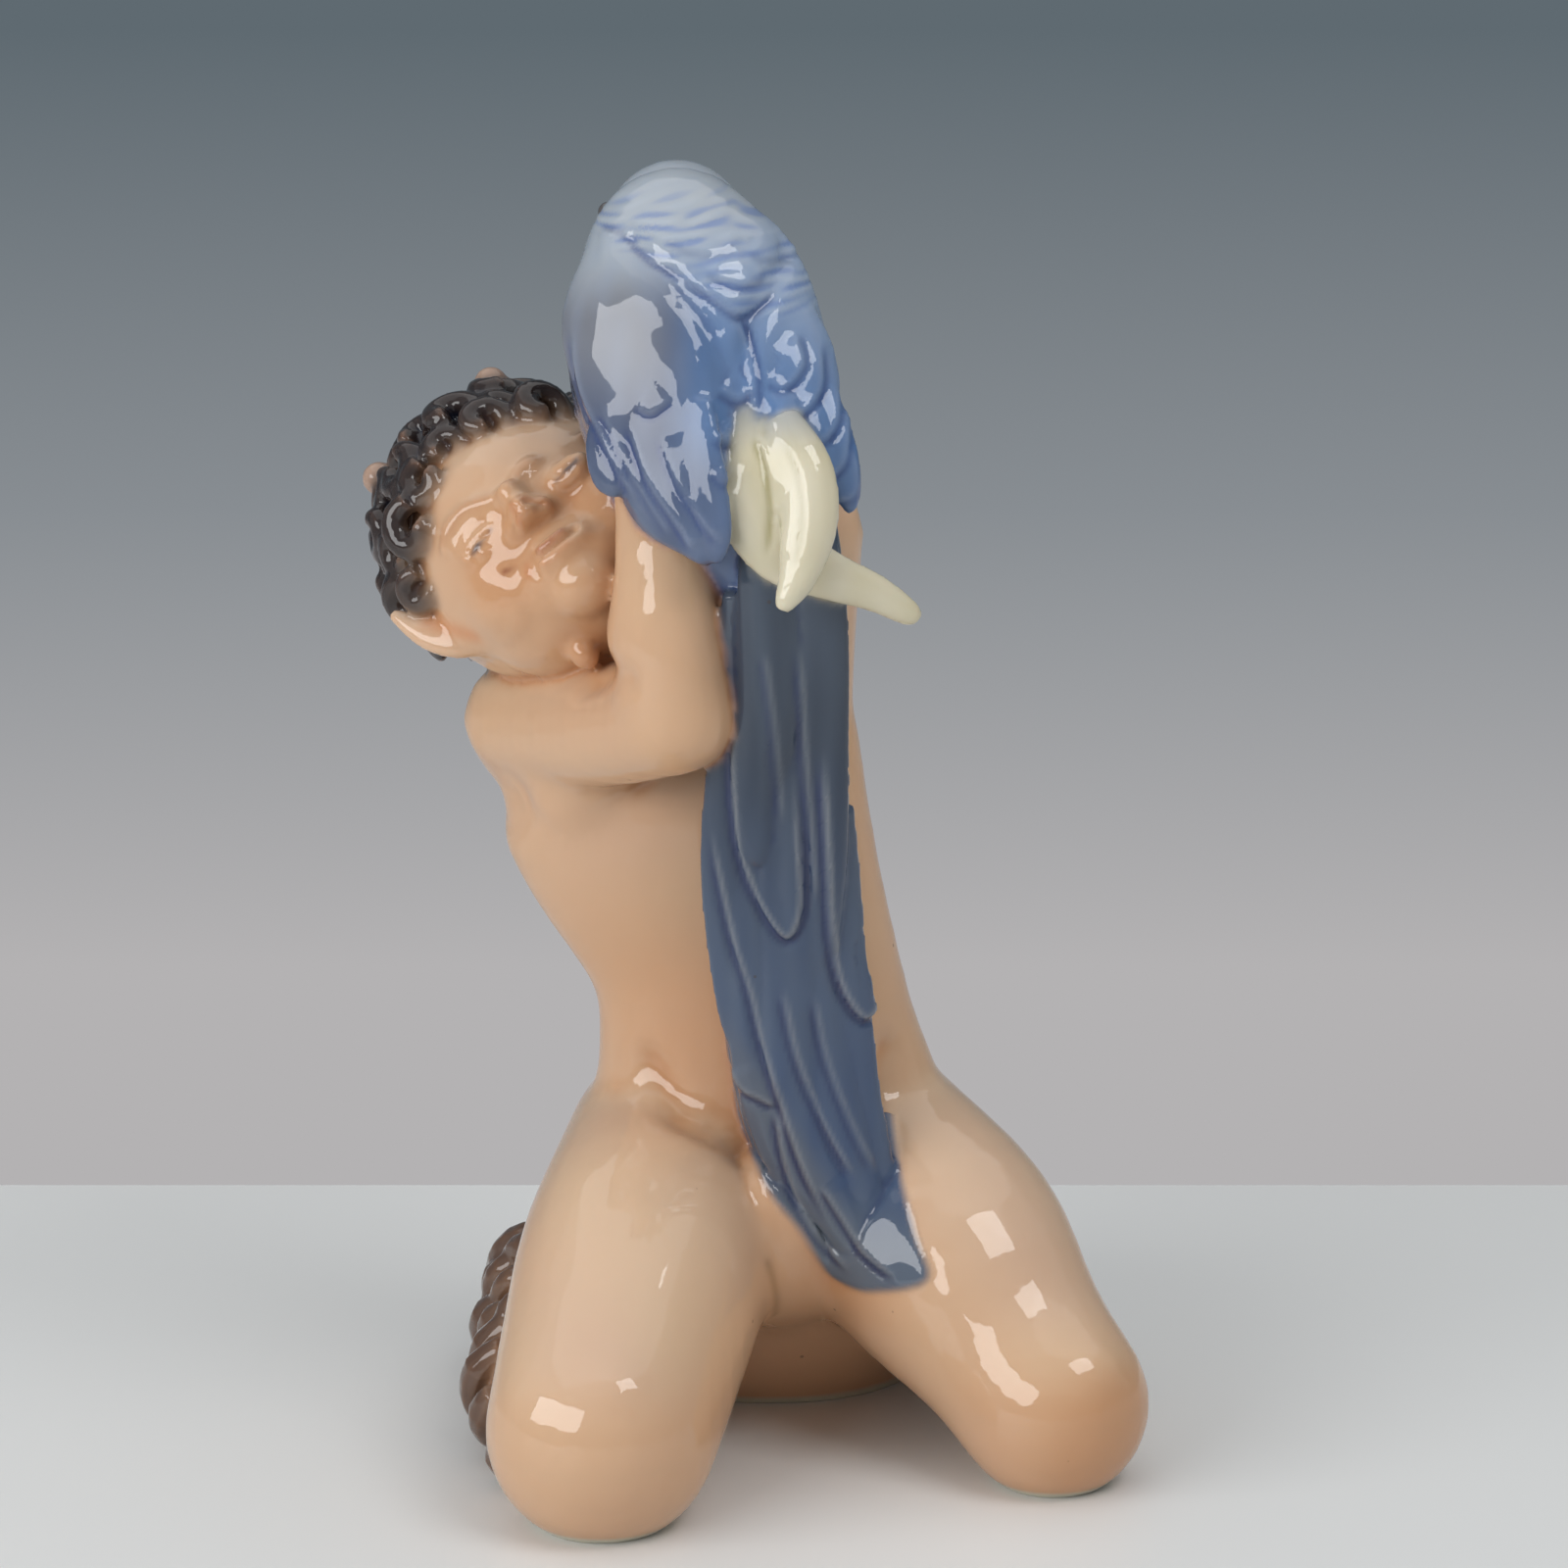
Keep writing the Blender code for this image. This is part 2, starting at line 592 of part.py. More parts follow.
def add_crossing_feathers(form):
    """The pale feathers that cross over the root of the tail."""
    loft(
        form,
        [
            (BIRD + at(3.4, -11.5, 2), 2.6 * MM, 2 * MM),
            (BIRD + at(3.8, -14.8, -4), 3.6 * MM, 2.4 * MM),
            (BIRD + at(4.2, -16.2, -9.5), 4.6 * MM, 2.4 * MM),
            (BIRD + at(8.5, -16.3, -15.5), 4.4 * MM, 2.3 * MM),
            (BIRD + at(15.1, -15.5, -18.9), 3.3 * MM, 2 * MM),
            (BIRD + at(20.4, -14.5, -21.1), 2.6 * MM, 1.8 * MM),
            (BIRD + at(25, -13.5, -24), 1.8 * MM, 1.5 * MM),
            (BIRD + at(26.4, -13.2, -24.9), 0.9 * MM, 0.9 * MM),
        ],
        Vector((0.6, 0, 0.8)),
        sides=12,
    )
    loft(
        form,
        [
            (BIRD + at(8.4, -14.5, 2), 2.4 * MM, 2.2 * MM),
            (BIRD + at(11.2, -18, -4), 3.9 * MM, 2.6 * MM),
            (BIRD + at(12.1, -20, -10.3), 3.7 * MM, 2.4 * MM),
            (BIRD + at(10.7, -21.5, -17), 2.8 * MM, 2.2 * MM),
            (BIRD + at(9, -23, -20.6), 1.6 * MM, 1.6 * MM),
            (BIRD + at(8.6, -23.3, -21.9), 0.9 * MM, 0.9 * MM),
        ],
        Vector((1, 0, 0.1)),
        sides=12,
    )


def tail_line():
    """The middle of the tail's face, from root to end: (place, half width, depth behind it)."""
    return [
        (BIRD + at(8, -12, -8), 7.4, TAIL_CORE_DEPTH * 0.8),
        (BIRD + at(8.6, -13.6, -19), 8.6, TAIL_CORE_DEPTH),
        (BIRD + at(9.4, -12, -33), 8.4, TAIL_CORE_DEPTH),
        (CHEST + at(11.6, -31, 13.5), 10.0, TAIL_CORE_DEPTH * 1.9),
        (CHEST + at(12, -29.5, -1), 9.8, TAIL_CORE_DEPTH * 1.9),
        (WAIST + at(6.6, -27, 0), 9.8, TAIL_CORE_DEPTH * 1.6),
        (PELVIS + at(4.1, -27.5, 16), 9.0, TAIL_CORE_DEPTH * 1.3),
        (PELVIS + at(6, -26.5, 4), 9.0, TAIL_CORE_DEPTH * 1.2),
        (PELVIS + at(11, -26.5, -5), 7.4, TAIL_CORE_DEPTH),
        (PELVIS + at(15.5, -27, -11), 5.8, TAIL_CORE_DEPTH),
        (PELVIS + at(18.8, -27, -14.5), 3.0, TAIL_CORE_DEPTH * 0.7),
    ]


def add_tail(form):
    """The long tail: a core that rests on the trunk, and blades laid on it in layers."""
    rings = []
    for face, half, deep in tail_line():
        rings.append((face + at(0, 1, 0) + Y_AXIS * deep / 2, half * MM * 0.92, deep / 2))
    loft(form, rings, X_AXIS, sides=20)
    line = smooth_line([np.array([*face, half]) for face, half, deep in tail_line()], 10)
    last = len(line) - 1
    layers = (
        # share of the half width, start, end, lift
        (-0.72, 0.12, 0.60, 0.4),
        (-0.30, 0.02, 0.385, 1.8),
        (0.55, 0.02, 0.48, 1.4),
        (-0.45, 0.33, 0.80, 0.2),
        (-0.05, 0.36, 0.93, 0.8),
        (0.45, 0.42, 1.00, 0.5),
        (0.82, 0.42, 0.93, 0.0),
    )
    for share, start, end, lift in layers:
        stations = []
        for t, w in ((0, 0.6), (0.25, 0.9), (0.55, 1.0), (0.8, 0.85), (0.93, 0.5), (1.0, 0.12)):
            x, y, z, half = line[round((start + (end - start) * t) * last)]
            back = 4 * MM * (1 - math.sqrt(1 - 0.9 * share * share)) + 1.2 * MM
            centre = Vector((x + share * max(half, 4.5) * MM * 0.92, y + back - lift * 0.6 * MM, z))
            stations.append((centre, TAIL_FEATHER_WIDTH / 2 * w, 1.9 * MM * (0.5 + 0.5 * w)))
        loft(form, stations, X_AXIS, sides=12, steps=4)


def lock(form, root, flow, out, size):
    """A pointed lock of fur that stands off the skin and curls in at its tip."""
    length = LOCK_LENGTH * size
    thick = LOCK_RADIUS * size
    shape = ((0.0, -0.1, 0.6), (0.3, 0.3, 1.0), (0.62, 0.34, 0.85), (0.85, 0.16, 0.5), (1.0, 0.05, 0.12))
    rings = [
        (root + flow * length * t + out * thick * 1.8 * lift, thick * w, thick * w * 0.8)
        for t, lift, w in shape
    ]
    loft(form, rings, flow.cross(out), sides=8, steps=2)


def scatter(skin, wanted, spacing):
    """Spots (place, normal) that lie about evenly on the wanted part of a skin."""
    kept = []
    for vertex in skin.data.vertices:
        if wanted(vertex.co, vertex.normal) and all((vertex.co - k[0]).length > spacing for k in kept):
            kept.append((vertex.co.copy(), vertex.normal.copy()))
    return kept


def is_furry(spot, normal):
    """Whether fur grows there: on the shanks, the back of the thighs and the lower seat."""
    x, y, z = spot / MM
    right = x < SEAT.x / MM
    front, rise = (KNEE_RIGHT.y / MM + 4, 1.9) if right else (KNEE_LEFT.y / MM + 30, 1.4)
    inner = normal.x * (1 if right else -1) > 0.55 and y < SEAT.y / MM
    arch = normal.y < -0.1 and abs(spot.x - SEAT.x) < SEAT_WIDTH / 2
    bare = x > KNEE_LEFT.x / MM + 3 and z > 13
    return 1.5 < z < 33 and y > front + rise * z and normal.z > -0.6 and not (inner or arch or bare)


def add_fur(form, skin):
    """Shaggy locks over the shanks and the back of the thighs."""
    for k, (spot, normal) in enumerate(scatter(skin, is_furry, LOCK_SPACING)):
        fall = Vector((0.25 * math.copysign(1, normal.x), 0.5 + 0.3 * math.sin(4 * k), -1))
        flow = (fall - normal * normal.dot(fall)).normalized()
        lock(form, spot - flow * LOCK_LENGTH * 0.4, flow, normal, 1 + 0.18 * math.sin(7 * k))


def add_hooves(form):
    """A pastern and a cloven hoof behind each heel."""
    for sign, heel, hoof in ((-1, HEEL_RIGHT, HOOF_RIGHT), (1, HEEL_LEFT, HOOF_LEFT)):
        limb(form, [(heel, SHANK_RADIUS * 0.9), (hoof, HOOF_RADIUS)])
        reach = (hoof - heel).normalized()
        side = reach.cross(Z_AXIS).normalized()
        for half in (-1, 1):
            start = hoof + side * half * 2.8 * MM
            loft(
                form,
                [
                    (start, 3 * MM, HOOF_RADIUS * 0.8),
                    (start + reach * 5 * MM, 3.1 * MM, HOOF_RADIUS * 0.72),
                    (start + reach * 9 * MM - at(0, 0, 2), 1.5 * MM, 2.5 * MM),
                ],
                side,
                sides=12,
            )


def add_right_hand(form):
    """The right hand, which holds the parrot's side under its wing."""
    palm = WRIST_RIGHT + at(-4, 7, 7)
    ball(form, palm, (4.5 * MM, 6 * MM, 5.5 * MM))
    for k in range(4):
        start = palm + at(-0.5 + 0.5 * k, 2, -3.6 + 2.7 * k)
        knuckle = start + at(-0.6, FINGER_LENGTH / MM * 0.55, 1)
        tip = start + at(2, FINGER_LENGTH / MM - 0.8 * abs(k - 1.4), 1.5)
        limb(form, [(start, FINGER_RADIUS), (knuckle, FINGER_RADIUS), (tip, FINGER_RADIUS * 0.85)], sides=8)


def add_left_hand(form):
    """The left hand, flat on the parrot's breast."""
    palm = WRIST_LEFT + at(-4.5, 0.5, 5)
    ball(form, palm, (5 * MM, 3.4 * MM, 5 * MM))
    reach = Vector((-0.75, 0, 0.66)).normalized()
    across = Vector((0.66, 0, 0.75)).normalized()
    for k in range(4):
        start = palm + across * (k - 1.5) * 2.7 * MM
        tip = start + reach * FINGER_LENGTH * (1 - 0.07 * abs(k - 1.3)) + at(0, -2.2, 0)
        limb(form, [(start, FINGER_RADIUS), (tip, FINGER_RADIUS * 0.85)], sides=8)


def stroke(obj, path, radius, height):
    """Raises or lowers the skin along a path, like a modelling tool."""
    mesh = obj.data
    tree = BVHTree.FromObject(obj, bpy.context.evaluated_depsgraph_get())
    path = [tree.find_nearest(spot)[0] for spot in path]
    count = len(mesh.vertices)
    points = np.empty(count * 3)
    normals = np.empty(count * 3)
    mesh.vertices.foreach_get("co", points)
    mesh.vertex_normals.foreach_get("vector", normals)
    points, normals = points.reshape(-1, 3), normals.reshape(-1, 3)
    nearest = np.full(count, 1e9)
    line = smooth_line([np.array(p) for p in path], 4)
    for start, end in zip(line, line[1:], strict=False):
        along = end - start
        t = np.clip((points - start) @ along / max(along @ along, 1e-12), 0, 1)
        nearest = np.minimum(nearest, np.linalg.norm(points - start - t[:, None] * along, axis=1))
    points += normals * (height * np.exp(-((nearest / radius) ** 2)))[:, None]
    mesh.vertices.foreach_set("co", points.ravel())
    mesh.update()


def carve_face(obj):
    """Eye slits, brows, laugh lines, nostrils and a broad laughing mouth."""
    eye = EYE_SPREAD / 2 / MM
    for sign in (-1, 1):
        for path, radius, height in (
            (((eye - 2.8, -19, 0.2), (eye, -19, 0.9), (eye + 2.6, -18, 0.2)), 0.65, -0.8),
            (((eye - 2.8, -19, 2.2), (eye, -19, 2.9), (eye + 3, -18, 1.8)), 0.7, -0.4),
            (((eye - 2.4, -19, -1.5), (eye, -19, -1.3), (eye + 2.8, -18, -1.8)), 0.7, -0.45),
            (((2.6, -20, 4), (eye - 2, -20, 5.4), (eye + 2, -19, 5.8), (eye + 5, -17, 4.2)), 1.2, 0.7),
            (((3.4, -20, -2.2), (5, -20, -4.8), (6.8, -19, -8.2), (6.2, -18, -10.2)), 0.9, -0.8),
            (((1.3, -22, -5), (1.9, -22, -5)), 0.6, -0.8),
        ):
            stroke(obj, [HEAD + head_step(x * sign, y, z) for x, y, z in path], radius * MM, height * MM)
    for path, radius, height in (
        (((-6, -20, -6.8), (-3, -20, -8), (0, -20, -8.3), (3, -20, -8), (6, -20, -6.8)), 0.65, -0.9),
        (((-3.2, -20, -6.7), (0, -20, -7), (3.2, -20, -6.7)), 0.7, 0.35),
        (((-3, -20, -9.5), (0, -20, -9.8), (3, -20, -9.5)), 0.8, 0.4),
        (((-3.4, -20, -11.2), (0, -20, -11.6), (3.4, -20, -11.2)), 0.8, -0.4),
    ):
        stroke(obj, [HEAD + head_step(*p) for p in path], radius * MM, height * MM)


def cut(obj, cutter):
    """Takes the cutter away from the object."""
    boolean = obj.modifiers.new("cut", "BOOLEAN")
    boolean.operation = "DIFFERENCE"
    boolean.object = cutter
    settle(obj)
    bpy.data.objects.remove(cutter)


def floor_block():
    """All that lies below the table top."""
    form = bmesh.new()
    bmesh.ops.create_cube(form, size=0.4, matrix=Matrix.Translation((0, 0, -0.2)))
    return object_of("floor", form)


def thin_out(obj, count):
    """Brings the object down to a count of triangles, and spares the face."""
    spared = obj.vertex_groups.new(name="free")
    for vertex in obj.data.vertices:
        near = (vertex.co - (HEAD + head_step(0, -14, -3))).length < FACE_RADIUS
        spared.add([vertex.index], 0.6 if near else 1.0, "REPLACE")
    thin = obj.modifiers.new("thin", "DECIMATE")
    thin.vertex_group = spared.name
    thin.vertex_group_factor = FACE_CARE
    thin.ratio = min(1.0, count / sum(len(face.vertices) - 2 for face in obj.data.polygons))
    settle(obj)
    obj.vertex_groups.clear()


def open_gaps(obj):
    """Draws skins apart where they cross or touch."""
    for _ in range(30):
        form = bmesh.new()
        form.from_mesh(obj.data)
        form.normal_update()
        form.faces.ensure_lookup_table()
        tree = BVHTree.FromBMesh(form)
        close = set()
        for a, b in tree.overlap(tree):
            corners = set(form.faces[a].verts), set(form.faces[b].verts)
            if not corners[0] & corners[1]:
                close |= corners[0] | corners[1]
        places = {}
        for vertex in form.verts:
            places.setdefault(tuple(round(c / TOUCH) for c in vertex.co), []).append(vertex)
        for group in places.values():
            if len(group) > 1:
                close.update(group)
        for vertex in close:
            vertex.co -= vertex.normal * 0.04 * MM
        form.to_mesh(obj.data)
        form.free()
        if not close:
            break


def figurine():
    """The whole figurine as one closed solid."""
    skin = body()
    form = bmesh.new()
    add_fur(form, skin)
    add_object(form, skin)
    smooth, crown = bird()
    add_plumage(form, smooth)
    add_object(form, smooth)
    add_beak(form, crown)
    add_flight_feathers(form)
    add_crossing_feathers(form)
    add_tail(form)
    add_object(form, head())
    add_ears(form)
    add_horns(form)
    add_hair(form)
    add_hooves(form)
    add_right_hand(form)
    add_left_hand(form)
    solid = fuse("faun_figurine", form, SKIN_VOXEL, rounds=2)
    carve_face(solid)
    thin_out(solid, TRIANGLES)
    open_gaps(solid)
    cut(solid, floor_block())
    centre(solid)
    return solid


def centre(obj):
    """Moves the object so that the middle of its box stands over the origin."""
    corners = np.array(obj.bound_box)
    middle = (corners.min(axis=0) + corners.max(axis=0)) / 2
    obj.data.transform(Matrix.Translation((-middle[0], -middle[1], 0)))


def glazed_porcelain():
    """Skin-coloured porcelain under a clear glaze."""
    material = bpy.data.materials.new("glazed_porcelain")
    material.use_nodes = True
    shader = material.node_tree.nodes["Principled BSDF"]
    shader.inputs["Base Color"].default_value = (0.72, 0.49, 0.34, 1)
    shader.inputs["Roughness"].default_value = 0.08
    shader.inputs["Metallic"].default_value = 0.0
    return material


def main():
    for obj in list(bpy.data.objects):
        bpy.data.objects.remove(obj)
    collection = bpy.data.collections.new("faun_figurine")
    bpy.context.scene.collection.children.link(collection)
    solid = figurine()
    solid.data.materials.clear()
    solid.data.materials.append(glazed_porcelain())
    solid.data.shade_smooth()
    solid.data.set_sharp_from_angle(angle=math.radians(50))
    collection.objects.link(solid)
    bpy.context.scene.collection.objects.unlink(solid)


main()
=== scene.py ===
"""The looks of the faun figurine: painted, glazed porcelain on a pale table.

Metres, +Z up. The faun faces -Y, and +X is its own left side. The figurine is modelled over a point
on the table under its trunk, and moved at the end so that the origin is in the middle of its base.
"""

import json
import math

import bmesh
import bpy
import numpy as np
from mathutils import Matrix, Vector
from mathutils.bvhtree import BVHTree

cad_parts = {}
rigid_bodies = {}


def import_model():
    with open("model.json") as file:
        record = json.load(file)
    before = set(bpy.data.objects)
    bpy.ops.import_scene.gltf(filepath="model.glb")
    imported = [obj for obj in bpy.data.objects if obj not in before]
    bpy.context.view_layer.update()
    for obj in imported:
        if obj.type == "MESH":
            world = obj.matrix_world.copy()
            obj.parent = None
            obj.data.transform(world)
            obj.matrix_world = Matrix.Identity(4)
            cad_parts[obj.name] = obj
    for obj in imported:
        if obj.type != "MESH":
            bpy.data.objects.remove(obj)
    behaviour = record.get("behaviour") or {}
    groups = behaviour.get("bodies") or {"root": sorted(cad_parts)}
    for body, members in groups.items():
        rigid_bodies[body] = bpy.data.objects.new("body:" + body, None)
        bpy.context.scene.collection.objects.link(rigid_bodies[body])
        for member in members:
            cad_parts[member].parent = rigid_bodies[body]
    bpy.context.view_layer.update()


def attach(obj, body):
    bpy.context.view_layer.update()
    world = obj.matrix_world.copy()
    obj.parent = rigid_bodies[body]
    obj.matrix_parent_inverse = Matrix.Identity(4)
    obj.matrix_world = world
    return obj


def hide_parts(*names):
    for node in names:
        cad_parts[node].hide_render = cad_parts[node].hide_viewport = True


MM = 0.001


def at(x, y, z):
    """A point or a step, given in millimetres."""
    return Vector((x, y, z)) * MM


# Fineness of the surface
BODY_VOXEL = 1.5 * MM
HEAD_VOXEL = 0.5 * MM
SKIN_VOXEL = 0.5 * MM

# Trunk, from the seat up
SEAT = at(2, 20, 10)
PELVIS = at(1.5, 5, 42)
WAIST = PELVIS + at(-3.7, -2.5, 27)
CHEST = WAIST + at(-6.3, -0.5, 17)
COLLAR = CHEST + at(-6, 0.5, 16)
SEAT_WIDTH = 44 * MM
HIP_WIDTH = 52 * MM
WAIST_WIDTH = 43.5 * MM
CHEST_WIDTH = 50.5 * MM
SHOULDER_WIDTH = 52 * MM
NECK_WIDTH = 22 * MM
HIP_DEPTH = 34 * MM
WAIST_DEPTH = 28 * MM
CHEST_DEPTH = 31 * MM
BUTTOCK = 15 * MM

# Legs
HIP_RIGHT = PELVIS + at(-12, 0, -6)
HIP_LEFT = PELVIS + at(13, 0, -6)
KNEE_RIGHT = at(-20.5, -42.5, 13)
KNEE_LEFT = at(41, -27, 11)
HEEL_RIGHT = at(-28.5, 20, 9)
HEEL_LEFT = at(37, 27, 9)
HOOF_RIGHT = at(-19, 38, 6)
HOOF_LEFT = at(24, 41, 6)
THIGH_RADIUS = 18.5 * MM
KNEE_RADIUS_RIGHT = 16 * MM
KNEE_RADIUS_LEFT = 13.6 * MM
SHANK_RADIUS = 9.5 * MM
HOOF_RADIUS = 6 * MM

# Arms
SHOULDER_RIGHT = CHEST + at(-23.5, -1, 15.5)
SHOULDER_LEFT = CHEST + at(14.3, 2, 16)
ELBOW_RIGHT = SHOULDER_RIGHT + at(21.8, -30, 7)
WRIST_RIGHT = ELBOW_RIGHT + at(-2.5, 0.5, 30)
ELBOW_LEFT = SHOULDER_LEFT + at(2.4, -10, 27)
WRIST_LEFT = ELBOW_LEFT + at(-3.5, 2, 15)
SHOULDER_RADIUS = 8.8 * MM
ELBOW_RADIUS = 8.2 * MM
WRIST_RADIUS = 5.8 * MM
FINGER_RADIUS = 1.9 * MM
FINGER_LENGTH = 11 * MM

# Head
HEAD = COLLAR + at(-11, -10.5, 24.3)
HEAD_TURN = (
    Matrix.Rotation(math.radians(-13), 4, "X")
    @ Matrix.Rotation(math.radians(-38.8), 4, "Y")
    @ Matrix.Rotation(math.radians(-29.2), 4, "X")
    @ Matrix.Rotation(math.radians(-2.7), 4, "Z")
)
SKULL_RADIUS = 18.5 * MM
SKULL_MIDDLE = at(-2.2, 1.7, 4.7)
HAIR_WIDTH = 34 * MM
HAIR_DEPTH = 37 * MM
HAIR_HEIGHT = 31 * MM
HAIR_MIDDLE = at(-3.7, 7.2, 15.2)
EYE_SPREAD = 16.8 * MM
CURL_RADIUS = 4.0 * MM
CURL_COUNT = 92
HORN_RADIUS = 3 * MM
HORN_LENGTH = 6.4 * MM
EAR_LENGTH = 14 * MM
EAR_WIDTH = 8 * MM

# Parrot
BIRD = WRIST_RIGHT + at(8, 7, 9)
BIRD_WIDTH = 35 * MM
BIRD_DEPTH = 30 * MM
CROWN_RADIUS = 9.8 * MM
BEAK_LENGTH = 12 * MM
EYE_RADIUS = 1.7 * MM
WING_THICKNESS = 9 * MM
FEATHER_THICKNESS = 1.5 * MM
TAIL_FEATHER_WIDTH = 8.6 * MM
TAIL_CORE_DEPTH = 10 * MM

# Fur
LOCK_LENGTH = 13 * MM
LOCK_RADIUS = 2.9 * MM
LOCK_SPACING = 6.2 * MM

# How the surface is painted, and the pieces it is made in: name, regions, lowest and highest part in mm
REGIONS = ("skin", "fur", "bird", "beak", "cream", "tail", "horn", "hair", "hoof")
PIECES = (
    ("upper_body", ("skin",), 62, 999),
    ("lower_body", ("skin",), 12, 62),
    ("foot", ("skin",), -999, 12),
    ("fur", ("fur", "hoof"), -999, 999),
    ("curls", ("hair", "horn"), -999, 999),
    ("parrot", ("bird", "beak"), -999, 999),
    ("tail", ("tail", "cream"), -999, 999),
)

# Edges of feathers as seen from the front: for each region the place that they are measured from, and
# for each edge its height in mm and its path in mm (right, up). The feather lies on the left of its path.
EDGES = (
    ("bird", BIRD, (
        (0.3, (-4, 18.4), (-9.4, 21.1), (-13, 24.1), (-16, 24.6)),
        (0.45, (-4.5, 20), (0, 16.8), (2.8, 15), (5, 15.8), (7.5, 17.8)),
        (0.3, (-1.5, 20.6), (2.5, 18.6), (6.5, 19.6)),
        (0.2, (4, 22.8), (8, 21.2), (11, 22)),
        (0.2, (-7, 24.6), (-2, 22.8), (3, 23.8)),
        (0.45, (5.1, 2.2), (4.8, 8.6), (2.6, 14.5)),
        (0.3, (-10.5, 3.6), (-8.6, 2.6), (-5.8, 4.6)),
        (0.35, (0, 5.6), (2.6, 4), (5, 5.6)),
        (0.35, (-0.4, 0.2), (1.7, -1.3), (4.2, 0.4)),
        (0.3, (-0.6, -4.2), (1.3, -5.8), (3.2, -4)),
        (0.4, (-19.3, 12.5), (-18, 4.4), (-14.3, -2.6), (-10.7, -8.9)),
        (0.28, (-15.5, 3.5), (-12.5, -3), (-8.5, -9.5), (-6, -13.4)),
        (0.42, (-11.7, 1.4), (-8.9, -5.9), (-5.3, -11.3), (-3, -15.1)),
        (0.28, (-7.6, 0.4), (-5.3, -5.6), (-2.1, -10.5), (0.8, -14.2)),
        (0.35, (6.5, 6.8), (8.9, 5.6), (11.2, 8.4), (10.2, 12.4)),
        (0.4, (7, 2.6), (10, 1.8), (13.4, 4.9), (13.6, 11.2)),
        (0.4, (9.4, -1), (12.8, -1.6), (15.6, 1), (15.9, 8.4)),
        (0.4, (12, -5), (14.6, -5.8), (16.9, -3.2), (17.3, 4.4)),
        (0.35, (14.2, -9.2), (16.6, -9.2), (18.4, -7.4), (18, -2)),
    )),
    ("cream", BIRD, (
        (0.4, (5, 0), (6.6, -4), (7.4, -10), (7, -16)),
        (0.25, (9, 0), (11, -5), (11.6, -11), (10.4, -17)),
    )),
    ("tail", PELVIS, (
        (0.8, (-4.4, 71), (-4.4, 57), (-3.4, 47.3), (-0.8, 40.3),
            (2.8, 35.2), (4.8, 38.9), (4.9, 46), (4.1, 60)),
        (0.3, (-0.3, 76.7), (1, 65.5), (2.1, 51)),
        (0.4, (4.2, 78), (5, 64), (6, 50), (6.4, 40)),
        (0.8, (7.4, 63), (8, 49), (9.1, 31.6), (12.7, 23.2), (15.2, 24.6), (15, 32)),
        (0.6, (-7.7, 51.4), (-6.2, 43), (-4.4, 34.5), (-2.3, 27.4),
            (-0.7, 20.2), (2, 10.5), (5.2, 0.8), (9.3, -7.6)),
        (0.5, (-5, 15.5), (-3.5, 12.5), (-1.2, 11.3), (1.4, 10.1)),
        (0.5, (2, 28.5), (4.1, 17.5), (7.9, 7.5), (12.2, -0.7)),
        (0.4, (6.2, 27.4), (8.1, 17.3), (11.6, 7.2), (14.9, -0.1)),
        (0.5, (1.2, 10.1), (2.5, 1.7), (6.3, -8.1), (11.7, -14)),
        (0.5, (7.3, -0.9), (10, -5.4), (13.3, -10.3), (17.9, -12.9)),
    )),
)

# Outline of the tail's tip as seen from the front, in mm from the pelvis (right, up)
TAIL_TIP = [(-4.4, 10), (-3.3, 4.6), (0.4, -2.5), (4.3, -7.5), (8.4, -14.3), (12.2, -15.8)]
TAIL_TIP += [(16, -15.1), (22.2, -12.5), (20.6, -7.2), (18.6, -0.5), (17.4, 6)]

# The step that sets the part's solid over the origin
CENTRING = at(-0.12, 3.67, 0)

# Set and view, in metres, degrees and millimetres of lens. The backdrop glows as painted light and darkens
# between its two heights as painted shade, and its greys are given as on a screen.
TABLE_EDGE = 0.107
BACKDROP_DISTANCE = 1.2
BACKDROP_SHADING = (-0.346, 0.103)
BACKDROP_GREYS = (
    (0.0, (180, 178, 179)),
    (0.2, (180, 178, 179)),
    (0.6, (136, 141, 146)),
    (1.0, (95, 106, 113)),
)
VIEW_TARGET = at(4, 0, 92.34)
VIEW_DISTANCE = 0.7
VIEW_TILT = 13
VIEW_LENS = 115.27

X_AXIS = Vector((1, 0, 0))
Y_AXIS = Vector((0, 1, 0))
Z_AXIS = Vector((0, 0, 1))


def smooth_line(stations, steps):
    """Points of a smooth curve through the stations. Further columns, such as sizes, follow it."""
    ends = [2 * stations[0] - stations[1], *stations, 2 * stations[-1] - stations[-2]]
    line = []
    for before, start, end, after in zip(ends, ends[1:], ends[2:], ends[3:], strict=False):
        for t in np.arange(steps) / steps:
            line.append(
                start
                + (end - before) * t / 2
                + (before - 2.5 * start + 2 * end - after / 2) * t**2
                + (1.5 * (start - end) + (after - before) / 2) * t**3
            )
    return np.array([*line, stations[-1]])


def loft(form, rings, side, sides=16, steps=4):
    """Adds a closed skin through rings of (centre, half width, half depth). Width lies along side."""
    stations = [np.array([*centre, width, depth]) for centre, width, depth in rings]
    line = smooth_line(stations, steps)
    tangents = np.gradient(line[:, :3], axis=0)
    loops = []
    for (x, y, z, width, depth), tangent in zip(line, tangents, strict=True):
        along = Vector(tangent).normalized()
        across = (Vector(side) - along * along.dot(side)).normalized()
        out = along.cross(across)
        loop = []
        for k in range(sides):
            turn = math.tau * k / sides
            offset = across * max(width, 1e-5) * math.cos(turn) + out * max(depth, 1e-5) * math.sin(turn)
            loop.append(form.verts.new(Vector((x, y, z)) + offset))
        loops.append(loop)
    for low, high in zip(loops, loops[1:], strict=False):
        for k in range(sides):
            n = (k + 1) % sides
            form.faces.new((low[k], low[n], high[n], high[k]))
    form.faces.new(loops[0][::-1])
    form.faces.new(loops[-1])


